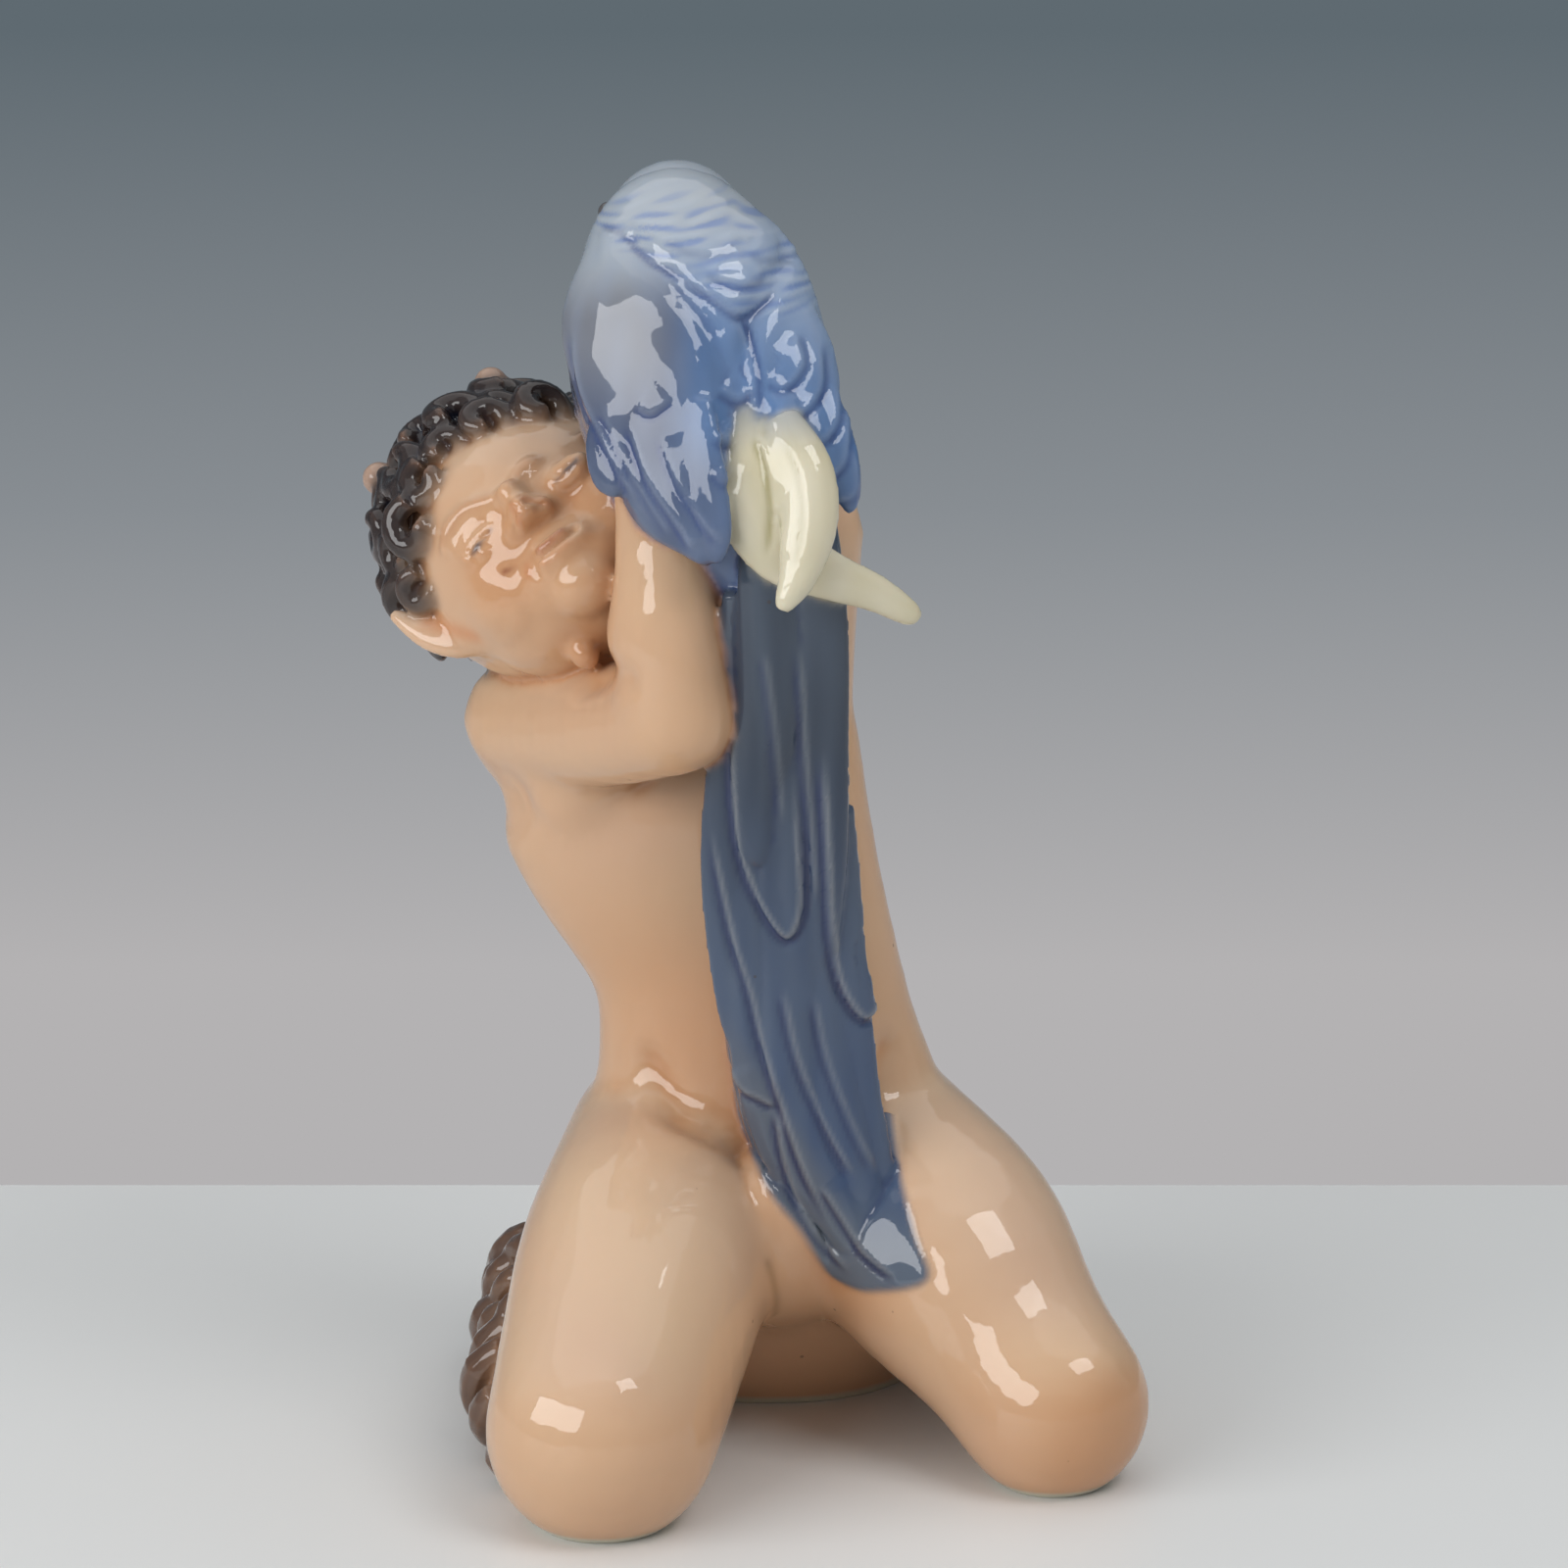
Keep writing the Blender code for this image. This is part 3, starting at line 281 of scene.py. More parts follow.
def tube(form, base, rings, side, sides=12):
    """A loft through rings given in mm from a base: three steps, half width and half depth."""
    loft(form, [(base + at(*ring[:3]), ring[3] * MM, ring[4] * MM) for ring in rings], side, sides)


def ball(form, centre, radii, turn=None, fineness=3):
    """Adds an ellipsoid."""
    shape = Matrix.Diagonal((*radii, 1))
    place = Matrix.Translation(centre) @ (turn or Matrix.Identity(4)) @ shape
    bmesh.ops.create_icosphere(form, subdivisions=fineness, radius=1, matrix=place)


def limb(form, joints, sides=20):
    """Adds a round limb through joints of (centre, radius), with a ball at each end."""
    rings = [(centre, radius, radius) for centre, radius in joints]
    along = joints[-1][0] - joints[0][0]
    loft(form, rings, X_AXIS if abs(along.normalized().x) < 0.8 else Y_AXIS, sides)
    for centre, radius in (joints[0], joints[-1]):
        ball(form, centre, (radius, radius, radius))


def placed(name, data):
    """A new object in the scene."""
    obj = bpy.data.objects.new(name, data)
    bpy.context.scene.collection.objects.link(obj)
    return obj


def object_of(name, form):
    """A new object from a bmesh, which is freed."""
    bmesh.ops.recalc_face_normals(form, faces=form.faces)
    mesh = bpy.data.meshes.new(name)
    form.to_mesh(mesh)
    form.free()
    return placed(name, mesh)


def values_of(items, name, width=1, kind=float):
    """A value of each item of a mesh, or a row of values, as an array."""
    values = np.empty(len(items) * width, dtype=kind)
    items.foreach_get(name, values)
    return values.reshape(-1, width) if width > 1 else values


def settle(obj):
    """Applies the modifiers of an object."""
    graph = bpy.context.evaluated_depsgraph_get()
    mesh = bpy.data.meshes.new_from_object(obj.evaluated_get(graph))
    obj.modifiers.clear()
    obj.data = mesh
    return obj


def fuse(name, form, voxel, rounds):
    """One skin around overlapping closed forms, its creases softened."""
    obj = object_of(name, form)
    remesh = obj.modifiers.new("skin", "REMESH")
    remesh.mode = "VOXEL"
    remesh.voxel_size = voxel
    if rounds:
        soften = obj.modifiers.new("soften", "SMOOTH")
        soften.factor = 0.5
        soften.iterations = rounds
    return settle(obj)


def add_object(form, obj):
    """Moves an object's mesh into a form."""
    form.from_mesh(obj.data)
    bpy.data.objects.remove(obj)


def trunk_rings():
    """The trunk from the seat to the neck."""
    return [
        (SEAT + at(0, 1, -16), SEAT_WIDTH / 2, HIP_DEPTH / 2),
        (SEAT + at(0, 0, -6), SEAT_WIDTH / 2, HIP_DEPTH / 2),
        (SEAT + at(0, -8, 11), HIP_WIDTH / 2, HIP_DEPTH / 2 + 2 * MM),
        (PELVIS, HIP_WIDTH / 2, HIP_DEPTH / 2),
        ((PELVIS + WAIST) / 2 + at(0.5, -0.5, 0), WAIST_WIDTH / 2 + 1 * MM, WAIST_DEPTH / 2 + 1.5 * MM),
        (WAIST, WAIST_WIDTH / 2, WAIST_DEPTH / 2),
        (CHEST, CHEST_WIDTH / 2, CHEST_DEPTH / 2),
        (CHEST + at(-3.2, 0.5, 9.5), SHOULDER_WIDTH / 2, CHEST_DEPTH / 2 - 1 * MM),
        (COLLAR, SHOULDER_WIDTH / 2 - 6 * MM, CHEST_DEPTH / 2 - 5 * MM),
        (COLLAR + at(-2, 0.5, 6), NECK_WIDTH / 2 + 2 * MM, NECK_WIDTH / 2 - 1 * MM),
    ]


def add_trunk(form):
    """Trunk, buttocks and neck."""
    loft(form, trunk_rings(), X_AXIS, sides=32)
    for x in (-11, 11):
        ball(form, SEAT + at(x, 8, 10), (BUTTOCK, BUTTOCK, BUTTOCK * 1.1))
    half = NECK_WIDTH / 2
    neck = [
        (COLLAR + at(-1, 0, 2), half, half),
        (COLLAR + at(-2.5, -5, 9), half - 1.5 * MM, half - 1 * MM),
        (on_head(-1, 3.4, -9.8), half + 1 * MM, half),
    ]
    loft(form, neck, X_AXIS)


def add_leg(form, hip, knee, knee_radius, heel):
    """A thigh and the shank that is folded under it."""
    thigh = [
        (hip + at(0, 3, 0), THIGH_RADIUS - 1.5 * MM),
        (hip.lerp(knee, 0.45) + at(0, -1, 2.5), THIGH_RADIUS - 0.5 * MM),
        (hip.lerp(knee, 0.8) + at(0, 0, 1), knee_radius + 0.8 * MM),
        (knee, knee_radius),
    ]
    under = knee.lerp(heel, 0.5)
    shank = [
        (knee + at(0, 5, -3), knee_radius - 2 * MM),
        (Vector((under.x, under.y, SHANK_RADIUS)), SHANK_RADIUS + 2 * MM),
        (heel, SHANK_RADIUS),
    ]
    limb(form, thigh, sides=24)
    limb(form, shank)


def add_arms(form):
    """Both arms, up to the wrists."""
    for joints in (
        [
            (SHOULDER_RIGHT, SHOULDER_RADIUS),
            (SHOULDER_RIGHT.lerp(ELBOW_RIGHT, 0.5) + at(0, 0, -1), SHOULDER_RADIUS),
            (ELBOW_RIGHT, ELBOW_RADIUS),
        ],
        [
            (ELBOW_RIGHT, ELBOW_RADIUS),
            (ELBOW_RIGHT.lerp(WRIST_RIGHT, 0.35) + at(-0.5, 0, 0), ELBOW_RADIUS),
            (ELBOW_RIGHT.lerp(WRIST_RIGHT, 0.7), ELBOW_RADIUS - 1.6 * MM),
            (WRIST_RIGHT + at(-0.5, 2, 4), WRIST_RADIUS),
        ],
        [
            (SHOULDER_LEFT + at(-1, 0, -3), SHOULDER_RADIUS),
            (SHOULDER_LEFT.lerp(ELBOW_LEFT, 0.45), SHOULDER_RADIUS - 1.5 * MM),
            (ELBOW_LEFT, ELBOW_RADIUS - 1.3 * MM),
        ],
        [
            (ELBOW_LEFT, ELBOW_RADIUS - 1.3 * MM),
            (ELBOW_LEFT.lerp(WRIST_LEFT, 0.5) + at(0, 1, 0), ELBOW_RADIUS - 2 * MM),
            (WRIST_LEFT, WRIST_RADIUS - 0.5 * MM),
        ],
    ):
        limb(form, joints)


def add_muscles(form):
    """Soft swellings: armpit, breast, belly, shoulder blades, kneecaps and calves."""
    limb(form, [(CHEST + at(-19, 3, 3), 5.6 * MM), (SHOULDER_RIGHT + at(1, 3, -3), SHOULDER_RADIUS)])
    for spot, radii in (
        (COLLAR + at(-12, -1, 1), (9, 8, 8)),
        (COLLAR + at(8, 0, -1), (9, 8, 6)),
        (COLLAR + at(-7, -8, 5), (9, 8, 8)),
        (CHEST + at(-14, -9.5, 8), (9, 5.5, 8)),
        (CHEST + at(4, -9.5, 8), (9, 5.5, 8)),
        (PELVIS + at(-1, -10, 13), (13, 6, 13)),
        (CHEST + at(-14, 10, 9), (9, 5, 10)),
        (CHEST + at(6, 10, 9), (9, 5, 10)),
        (KNEE_RIGHT + at(1, -5, 6), (9, 9, 8)),
        (KNEE_LEFT + at(2, -4, 4), (9, 8, 8)),
        (KNEE_RIGHT.lerp(HEEL_RIGHT, 0.42) + at(-2.5, 0, -2), (11, 15, 9)),
        (KNEE_LEFT.lerp(HEEL_LEFT, 0.45) + at(0, 0, -1), (10, 14, 9)),
    ):
        ball(form, spot, [r * MM for r in radii])


def body():
    """The bare body as one soft skin."""
    form = bmesh.new()
    add_trunk(form)
    add_muscles(form)
    add_leg(form, HIP_RIGHT, KNEE_RIGHT, KNEE_RADIUS_RIGHT, HEEL_RIGHT)
    add_leg(form, HIP_LEFT, KNEE_LEFT, KNEE_RADIUS_LEFT, HEEL_LEFT)
    add_arms(form)
    skin = fuse("body", form, BODY_VOXEL, rounds=7)
    for path in (
        ((-19.2, -18, 12.6), (-11.1, -19, 4.7), (-0.5, -19, -8)),
        ((22, -17, 15.5), (13.8, -18, 7), (6, -19, -3)),
    ):
        stroke(skin, [PELVIS + at(*p) for p in path], 2.4 * MM, -1.3 * MM)
    spine = [COLLAR + at(1, 12, -4), CHEST + at(-1, 16, 0), WAIST + at(0, 15, 0), PELVIS + at(0, 19, 4)]
    stroke(skin, spine, 3.5 * MM, -1.6 * MM)
    stroke(skin, [PELVIS + at(0, 22, -6), SEAT + at(0, 16, 16), SEAT + at(0, 22, 6)], 2.5 * MM, -3 * MM)
    elbow = [ELBOW_RIGHT + at(-16, 4, 7), ELBOW_RIGHT + at(-11, 0, 6), ELBOW_RIGHT + at(-6, -5, 6)]
    stroke(skin, elbow, 2.2 * MM, -1.2 * MM)
    return skin


def head_step(x, y, z):
    """A step in the head's own directions: its left, its back and its crown."""
    return HEAD_TURN.to_3x3() @ at(x, y, z)


def on_head(x, y, z):
    """A place given in the head's own directions."""
    return HEAD + head_step(x, y, z)


def head():
    """The bare head as one soft skin: skull, brow, cheeks, jaw, chin, nose, eyelids and wattle."""
    form = bmesh.new()
    eye = EYE_SPREAD / 2 / MM
    ball(form, HEAD + HEAD_TURN.to_3x3() @ SKULL_MIDDLE, [SKULL_RADIUS] * 3)
    for centre, radii in (
        ((-0.5, -1.5, -4.5), (16.2, 12.8, 12)),
        ((0, -7, -7.5), (10.5, 8.8, 7)),
        ((0, -10.2, -12), (5.2, 4.8, 4.2)),
        ((8.6, -8.2, -4.8), (7.2, 6.2, 6.4)),
        ((-8.6, -8.2, -4.8), (7.2, 6.2, 6.4)),
        ((0, -15.4, 1), (2.2, 3, 3.6)),
        ((0, -17.2, -1.2), (2.2, 2.6, 2.1)),
        ((2.2, -15.9, -1.8), (1.6, 2, 1.5)),
        ((-2.2, -15.9, -1.8), (1.6, 2, 1.5)),
        ((eye - 0.4, -14.2, 0.6), (3.6, 2.4, 2.2)),
        ((-eye + 0.4, -14.2, 0.6), (3.6, 2.4, 2.2)),
        ((0, -14.2, -8), (5.4, 2.6, 2.6)),
        ((-6.4, -3.4, -16.2), (2.1, 2.5, 2.3)),
    ):
        ball(form, on_head(*centre), [r * MM for r in radii], HEAD_TURN)
    return fuse("head", form, HEAD_VOXEL, rounds=14)


def add_ears(form):
    """Long pointed ears."""
    for sign in (-1, 1):
        root = on_head(15.4 * sign, -3, -3.8)
        reach = head_step(0.58 * sign, -0.2, 0.79) * (EAR_LENGTH / MM)
        belly = head_step(1.5 * sign, -0.4, -1.2)
        half = EAR_WIDTH / 2
        loft(
            form,
            [
                (root, half * 0.65, 2 * MM),
                (root + reach * 0.25 + belly * 0.6, half * 0.86, 1.8 * MM),
                (root + reach * 0.6 + belly * 0.6, half * 0.66, 1.5 * MM),
                (root + reach, 0.8 * MM, 0.8 * MM),
            ],
            head_step(0.82 * sign, -0.2, -0.51),
        )


def add_horns(form):
    """Two blunt horn buds that stand out of the hair."""
    for sign in (-1, 1):
        root = HEAD + HEAD_TURN.to_3x3() @ (HAIR_MIDDLE + at(8.3 * sign, -5.5, 8.7))
        tip = root + head_step(0.3 * sign, -0.26, 0.92) * (HORN_LENGTH / MM)
        limb(form, [(root, HORN_RADIUS), (tip, HORN_RADIUS * 0.8)], sides=12)


def curl(form, root, out, start, size):
    """A snail curl of hair that lies on the scalp."""
    across = out.orthogonal().normalized()
    upward = out.cross(across)
    rings = []
    for k in range(8):
        t = k / 7
        turn = start + 1.7 * math.pi * t
        reach = size * (0.85 - 0.55 * t)
        lift = size * (0.05 + 0.45 * t)
        centre = root + (across * math.cos(turn) + upward * math.sin(turn)) * reach + out * lift
        thickness = size * (0.3 + 0.16 * math.sin(math.pi * (0.15 + 0.75 * t)))
        rings.append((centre, thickness, thickness))
    loft(form, rings, out, sides=8, steps=2)


def on_scalp(spot):
    """Whether hair grows there: above a line from the forehead, over the ears, to the nape."""
    x, y, z = spot / MM
    beside_ear = abs(x) > 13 and z < 3 and y < 12
    return y * 0.47 + z * 0.88 > 8.2 - 0.036 * x * x and not beside_ear


def add_hair(form):
    """Short curls all over the scalp."""
    golden = math.pi * (3 - math.sqrt(5))
    half = Vector((HAIR_WIDTH, HAIR_DEPTH, HAIR_HEIGHT)) / 2
    turn = HEAD_TURN.to_3x3()
    ball(form, HEAD + turn @ HAIR_MIDDLE, half, HEAD_TURN)
    for k in range(CURL_COUNT):
        height = 1 - 2 * (k + 0.5) / CURL_COUNT
        ring = math.sqrt(1 - height * height)
        direction = Vector((ring * math.cos(golden * k), ring * math.sin(golden * k), height))
        spot = HAIR_MIDDLE + Vector(d * h for d, h in zip(direction, half, strict=True)) - SKULL_MIDDLE
        spot = SKULL_MIDDLE + spot * max(1, SKULL_RADIUS / spot.length)
        if on_scalp(spot):
            size = CURL_RADIUS * (1 + 0.16 * math.sin(5 * k))
            curl(form, HEAD + turn @ spot, (turn @ direction).normalized(), 2.4 * k, size)


def feather(form, root, tip, out, width, thickness, bow=0.0, blunt=0.35):
    """A blade from root to tip, with its face towards out."""
    side = (tip - root).cross(out)
    shape = ((0.0, 0.55), (0.3, 0.9), (0.6, 1.0), (0.85, 0.8), (0.97, blunt), (1.0, 0.1))
    rings = [
        (root.lerp(tip, t) + out * bow * 4 * t * (1 - t), width / 2 * w, thickness / 2 * (0.4 + 0.6 * w))
        for t, w in shape
    ]
    loft(form, rings, side, sides=10, steps=3)


def add_bird_body(form):
    """The parrot's trunk and head. It looks away, over the faun's shoulder."""
    wide, deep = BIRD_WIDTH / 2, BIRD_DEPTH / 2
    loft(
        form,
        [
            (BIRD + at(8, -6, -21), wide * 0.44, deep * 0.4),
            (BIRD + at(4, -3.5, -13), wide * 0.74, deep * 0.72),
            (BIRD + at(0, -1.5, -3), wide * 0.95, deep * 0.93),
            (BIRD + at(-2.4, 1, 6), wide, deep * 1.02),
            (BIRD + at(-4, 4, 15.5), wide * 0.93, deep),
            (BIRD + at(-5.5, 8.5, 22), wide * 0.72, deep * 0.78),
            (BIRD + at(-5.8, 13, 26), wide * 0.48, deep * 0.55),
        ],
        X_AXIS,
        sides=28,
    )
    ball(form, BIRD + at(2.8, -9.6, -1), (7 * MM, 6 * MM, 12 * MM))
    crown = BIRD + at(-5.8, 15, 22.7)
    ball(form, crown, (CROWN_RADIUS, CROWN_RADIUS * 1.15, CROWN_RADIUS))
    return crown


def add_beak(form, crown):
    """A hooked beak and the eyes."""
    length = BEAK_LENGTH / MM
    upper = (
        (-1, 7, 0.5, 4.6, 4.8),
        (-2, 7 + length * 0.55, -0.5, 3.6, 3.8),
        (-2.5, 7 + length * 0.85, -4, 2.2, 2.6),
        (-2.7, 7 + length * 0.8, -8.5, 0.7, 0.8),
    )
    lower = ((-1, 6, -4, 3.8, 3), (-2, 6 + length * 0.5, -5.5, 2, 1.6))
    tube(form, crown, upper, X_AXIS)
    tube(form, crown, lower, X_AXIS)
    for sign in (-1, 1):
        ball(form, crown + at(8.4 * sign - 0.8, 4.5, 2), [EYE_RADIUS] * 3, fineness=2)


# The right and the left wing, from shoulder to tip: steps from the bird's place and half width, in mm
WING_OUTLINES = (
    (
        (-14.5, 2, 22, 4.2),
        (-13.8, -4.5, 16, 8.8),
        (-10.4, -9.5, 6.5, 10.2),
        (-7.1, -12.5, -1.5, 9.4),
        (-5.6, -15, -8, 7.6),
        (-2.6, -17.8, -13.2, 4),
        (-1.2, -19, -16.6, 1.4),
    ),
    (
        (3, 3.5, 21.5, 3.6),
        (6.8, -2.5, 16.5, 5),
        (10, -6.8, 9.5, 6.4),
        (11.2, -9, 3.5, 6),
        (14, -10.3, -1.5, 4),
        (16.6, -11.5, -6.5, 2.4),
        (18.2, -12.5, -10.5, 1.1),
    ),
)
WING_FACES = (Vector((-0.5, -0.83, 0.25)), Vector((0.5, -0.83, 0.25)))


def add_wings(form):
    """Both folded wings as smooth shells."""
    for outline, face in zip(WING_OUTLINES, WING_FACES, strict=True):
        places = [BIRD + at(x, y, z) for x, y, z, _ in outline]
        side = (places[-1] - places[0]).cross(face)
        rings = []
        for centre, (*_, half) in zip(places, outline, strict=True):
            thickness = WING_THICKNESS * (0.35 + 0.65 * min(1, half / 8))
            rings.append((centre - face * WING_THICKNESS * 0.1, half * MM, thickness / 2))
        loft(form, rings, side, sides=20)


def bird():
    """The parrot's smooth forms, ready for its feathers."""
    form = bmesh.new()
    crown = add_bird_body(form)
    add_wings(form)
    smooth = fuse("bird", form, BODY_VOXEL * 0.7, rounds=5)
    for path in (
        ((-11, -4, 23), (-5, -9, 18), (0, -13, 12), (2.4, -15.5, 4), (3.2, -16, -3)),
        ((8, 0, 21), (4.6, -9, 15), (3.4, -14, 9), (3.6, -15.5, 3)),
    ):
        stroke(smooth, [BIRD + at(*p) for p in path], 1.7 * MM, -1.5 * MM)
    return smooth, crown


def add_flight_feathers(form):
    """Long feathers at the ends of the wings."""
    for k in range(4):
        root = BIRD + at(-15 + 4.2 * k, -8.5 - 2.3 * k, 2 + 0.8 * k)
        tip = BIRD + at(-13 + 4.4 * k, -13.8 - 1.9 * k, -8.6 - 2.6 * k)
        feather(form, root, tip, WING_FACES[0], 6.8 * MM, FEATHER_THICKNESS * 2, bow=0.8 * MM)
    for k in range(3):
        root = BIRD + at(13.4 - 3 * k, -8.2 - 1.6 * k, 6)
        tip = BIRD + at(17.4 - 3.4 * k, -12.4 - 1.2 * k, -11 + 3.4 * k)
        feather(form, root, tip, WING_FACES[1], 5.6 * MM, FEATHER_THICKNESS * 2, bow=0.8 * MM)


def add_crossing_feathers(form):
    """The pale feathers that cross over the root of the tail."""
    outer = (
        (3.4, -11.5, 2, 2.6, 2),
        (3.8, -14.8, -4, 3.6, 2.4),
        (4.2, -16.2, -9.5, 4.6, 2.4),
        (8.5, -16.3, -15.5, 4.4, 2.3),
        (15.1, -15.5, -18.9, 3.3, 2),
        (20.4, -14.5, -21.1, 2.6, 1.8),
        (25, -13.5, -24, 1.8, 1.5),
        (26.4, -13.2, -24.9, 0.9, 0.9),
    )
    inner = (
        (8.4, -14.5, 2, 2.4, 2.2),
        (11.2, -18, -4, 3.9, 2.6),
        (12.1, -20, -10.3, 3.7, 2.4),
        (10.7, -21.5, -17, 2.8, 2.2),
        (9, -23, -20.6, 1.6, 1.6),
        (8.6, -23.3, -21.9, 0.9, 0.9),
    )
    tube(form, BIRD, outer, Vector((0.6, 0, 0.8)))
    tube(form, BIRD, inner, Vector((1, 0, 0.1)))


def tail_line():
    """The middle of the tail's face, from root to end: (place, half width, depth behind it)."""
    return [
        (BIRD + at(8, -12, -8), 7.4, TAIL_CORE_DEPTH * 0.8),
        (BIRD + at(8.6, -13.6, -19), 8.6, TAIL_CORE_DEPTH),
        (BIRD + at(9.4, -12, -33), 8.4, TAIL_CORE_DEPTH),
        (CHEST + at(11.6, -31, 13.5), 10.0, TAIL_CORE_DEPTH * 1.9),
        (CHEST + at(12, -29.5, -1), 9.8, TAIL_CORE_DEPTH * 1.9),
        (WAIST + at(6.6, -27, 0), 9.8, TAIL_CORE_DEPTH * 1.6),
        (PELVIS + at(3.5, -27.5, 16), 9.7, TAIL_CORE_DEPTH * 1.3),
        (PELVIS + at(6, -26.5, 4), 9.0, TAIL_CORE_DEPTH * 1.2),
        (PELVIS + at(10.4, -26.5, -5), 6.6, TAIL_CORE_DEPTH),
        (PELVIS + at(14.6, -27, -11), 4.8, TAIL_CORE_DEPTH),
        (PELVIS + at(18.8, -27, -14.5), 3.0, TAIL_CORE_DEPTH * 0.7),
    ]


def add_tail(form):
    """The long tail: a core that rests on the trunk, and blades laid on it in layers."""
    rings = []
    for face, half, deep in tail_line():
        rings.append((face + at(0, 1, 0) + Y_AXIS * deep / 2, half * MM * 0.92, deep / 2))
    loft(form, rings, X_AXIS, sides=20)
    line = smooth_line([np.array([*face, half]) for face, half, deep in tail_line()], 10)
    last = len(line) - 1
    layers = (
        # share of the half width, start, end, lift
        (-0.72, 0.12, 0.60, 0.4),
        (-0.30, 0.02, 0.385, 1.8),
        (0.55, 0.02, 0.48, 1.4),
        (-0.45, 0.33, 0.80, 0.2),
        (-0.05, 0.36, 0.93, 0.8),
        (0.45, 0.42, 1.00, 0.5),
        (0.82, 0.33, 0.93, 0.0),
        (0.12, 0.2, 0.62, 0.4),
    )
    for share, start, end, lift in layers:
        stations = []
        for t, w in ((0, 0.6), (0.25, 0.9), (0.55, 1.0), (0.8, 0.85), (0.93, 0.5), (1.0, 0.12)):
            x, y, z, half = line[round((start + (end - start) * t) * last)]
            back = 4 * MM * (1 - math.sqrt(1 - 0.9 * share * share)) + 1.2 * MM
            centre = Vector((x + share * max(half, 4.5) * MM * 0.92, y + back - lift * 0.6 * MM, z))
            stations.append((centre, TAIL_FEATHER_WIDTH / 2 * w, 1.9 * MM * (0.5 + 0.5 * w)))
        loft(form, stations, X_AXIS, sides=12, steps=4)


def lock(form, root, flow, out, size):
    """A pointed lock of fur that stands off the skin and curls in at its tip."""
    length = LOCK_LENGTH * size
    thick = LOCK_RADIUS * size
    shape = ((0.0, -0.1, 0.6), (0.3, 0.3, 1.0), (0.62, 0.34, 0.85), (0.85, 0.16, 0.5), (1.0, 0.05, 0.12))
    rings = [
        (root + flow * length * t + out * thick * 1.8 * lift, thick * w, thick * w * 0.8)
        for t, lift, w in shape
    ]
    loft(form, rings, flow.cross(out), sides=8, steps=2)


def scatter(skin, wanted, spacing):
    """Spots (place, normal) that lie about evenly on the wanted part of a skin."""
    kept = []
    for vertex in skin.data.vertices:
        if wanted(vertex.co, vertex.normal) and all((vertex.co - k[0]).length > spacing for k in kept):
            kept.append((vertex.co.copy(), vertex.normal.copy()))
    return kept


def is_furry(spot, normal):
    """Whether fur grows there: on the shanks, the back of the thighs and the lower seat."""
    x, y, z = spot / MM
    right = x < SEAT.x / MM
    front, rise = (KNEE_RIGHT.y / MM + 4, 1.9) if right else (KNEE_LEFT.y / MM + 30, 1.4)
    inner = normal.x * (1 if right else -1) > 0.55 and y < SEAT.y / MM
    arch = normal.y < -0.1 and abs(spot.x - SEAT.x) < SEAT_WIDTH / 2
    bare = x > KNEE_LEFT.x / MM - 6 and z > 8
    return 1.5 < z < 33 and y > front + rise * z and normal.z > -0.6 and not (inner or arch or bare)


def add_fur(form, skin):
    """Shaggy locks over the shanks and the back of the thighs."""
    for k, (spot, normal) in enumerate(scatter(skin, is_furry, LOCK_SPACING)):
        fall = Vector((0.25 * math.copysign(1, normal.x), 0.5 + 0.3 * math.sin(4 * k), -1))
        flow = (fall - normal * normal.dot(fall)).normalized()
        lock(form, spot - flow * LOCK_LENGTH * 0.4, flow, normal, 1 + 0.18 * math.sin(7 * k))


def add_hooves(form):
    """A pastern and a cloven hoof behind each heel."""
    for heel, hoof in ((HEEL_RIGHT, HOOF_RIGHT), (HEEL_LEFT, HOOF_LEFT)):
        limb(form, [(heel, SHANK_RADIUS * 0.9), (hoof, HOOF_RADIUS)])
        reach = (hoof - heel).normalized()
        side = reach.cross(Z_AXIS).normalized()
        for half in (-1, 1):
            start = hoof + side * half * 2.8 * MM
            loft(
                form,
                [
                    (start, 3 * MM, HOOF_RADIUS * 0.8),
                    (start + reach * 5 * MM, 3.1 * MM, HOOF_RADIUS * 0.72),
                    (start + reach * 9 * MM - at(0, 0, 2), 1.5 * MM, 2.5 * MM),
                ],
                side,
                sides=12,
            )


def add_right_hand(form):
    """The right hand, which holds the parrot's side under its wing."""
    palm = WRIST_RIGHT + at(-4, 7, 7)
    ball(form, palm, (4.5 * MM, 6 * MM, 5.5 * MM))
    for k in range(4):
        start = palm + at(-0.5 + 0.5 * k, 2, -3.6 + 2.7 * k)
        knuckle = start + at(-0.6, FINGER_LENGTH / MM * 0.55, 1)
        tip = start + at(2, FINGER_LENGTH / MM - 0.8 * abs(k - 1.4), 1.5)
        limb(form, [(start, FINGER_RADIUS), (knuckle, FINGER_RADIUS), (tip, FINGER_RADIUS * 0.85)], sides=8)


def add_left_hand(form):
    """The left hand, flat on the parrot's breast."""
    palm = WRIST_LEFT + at(-4.5, 0.5, 5)
    ball(form, palm, (5 * MM, 3.4 * MM, 5 * MM))
    reach = Vector((-0.75, 0, 0.66)).normalized()
    across = Vector((0.66, 0, 0.75)).normalized()
    for k in range(4):
        start = palm + across * (k - 1.5) * 2.7 * MM
        tip = start + reach * FINGER_LENGTH * (1 - 0.07 * abs(k - 1.3)) + at(0, -2.2, 0)
        limb(form, [(start, FINGER_RADIUS), (tip, FINGER_RADIUS * 0.85)], sides=8)


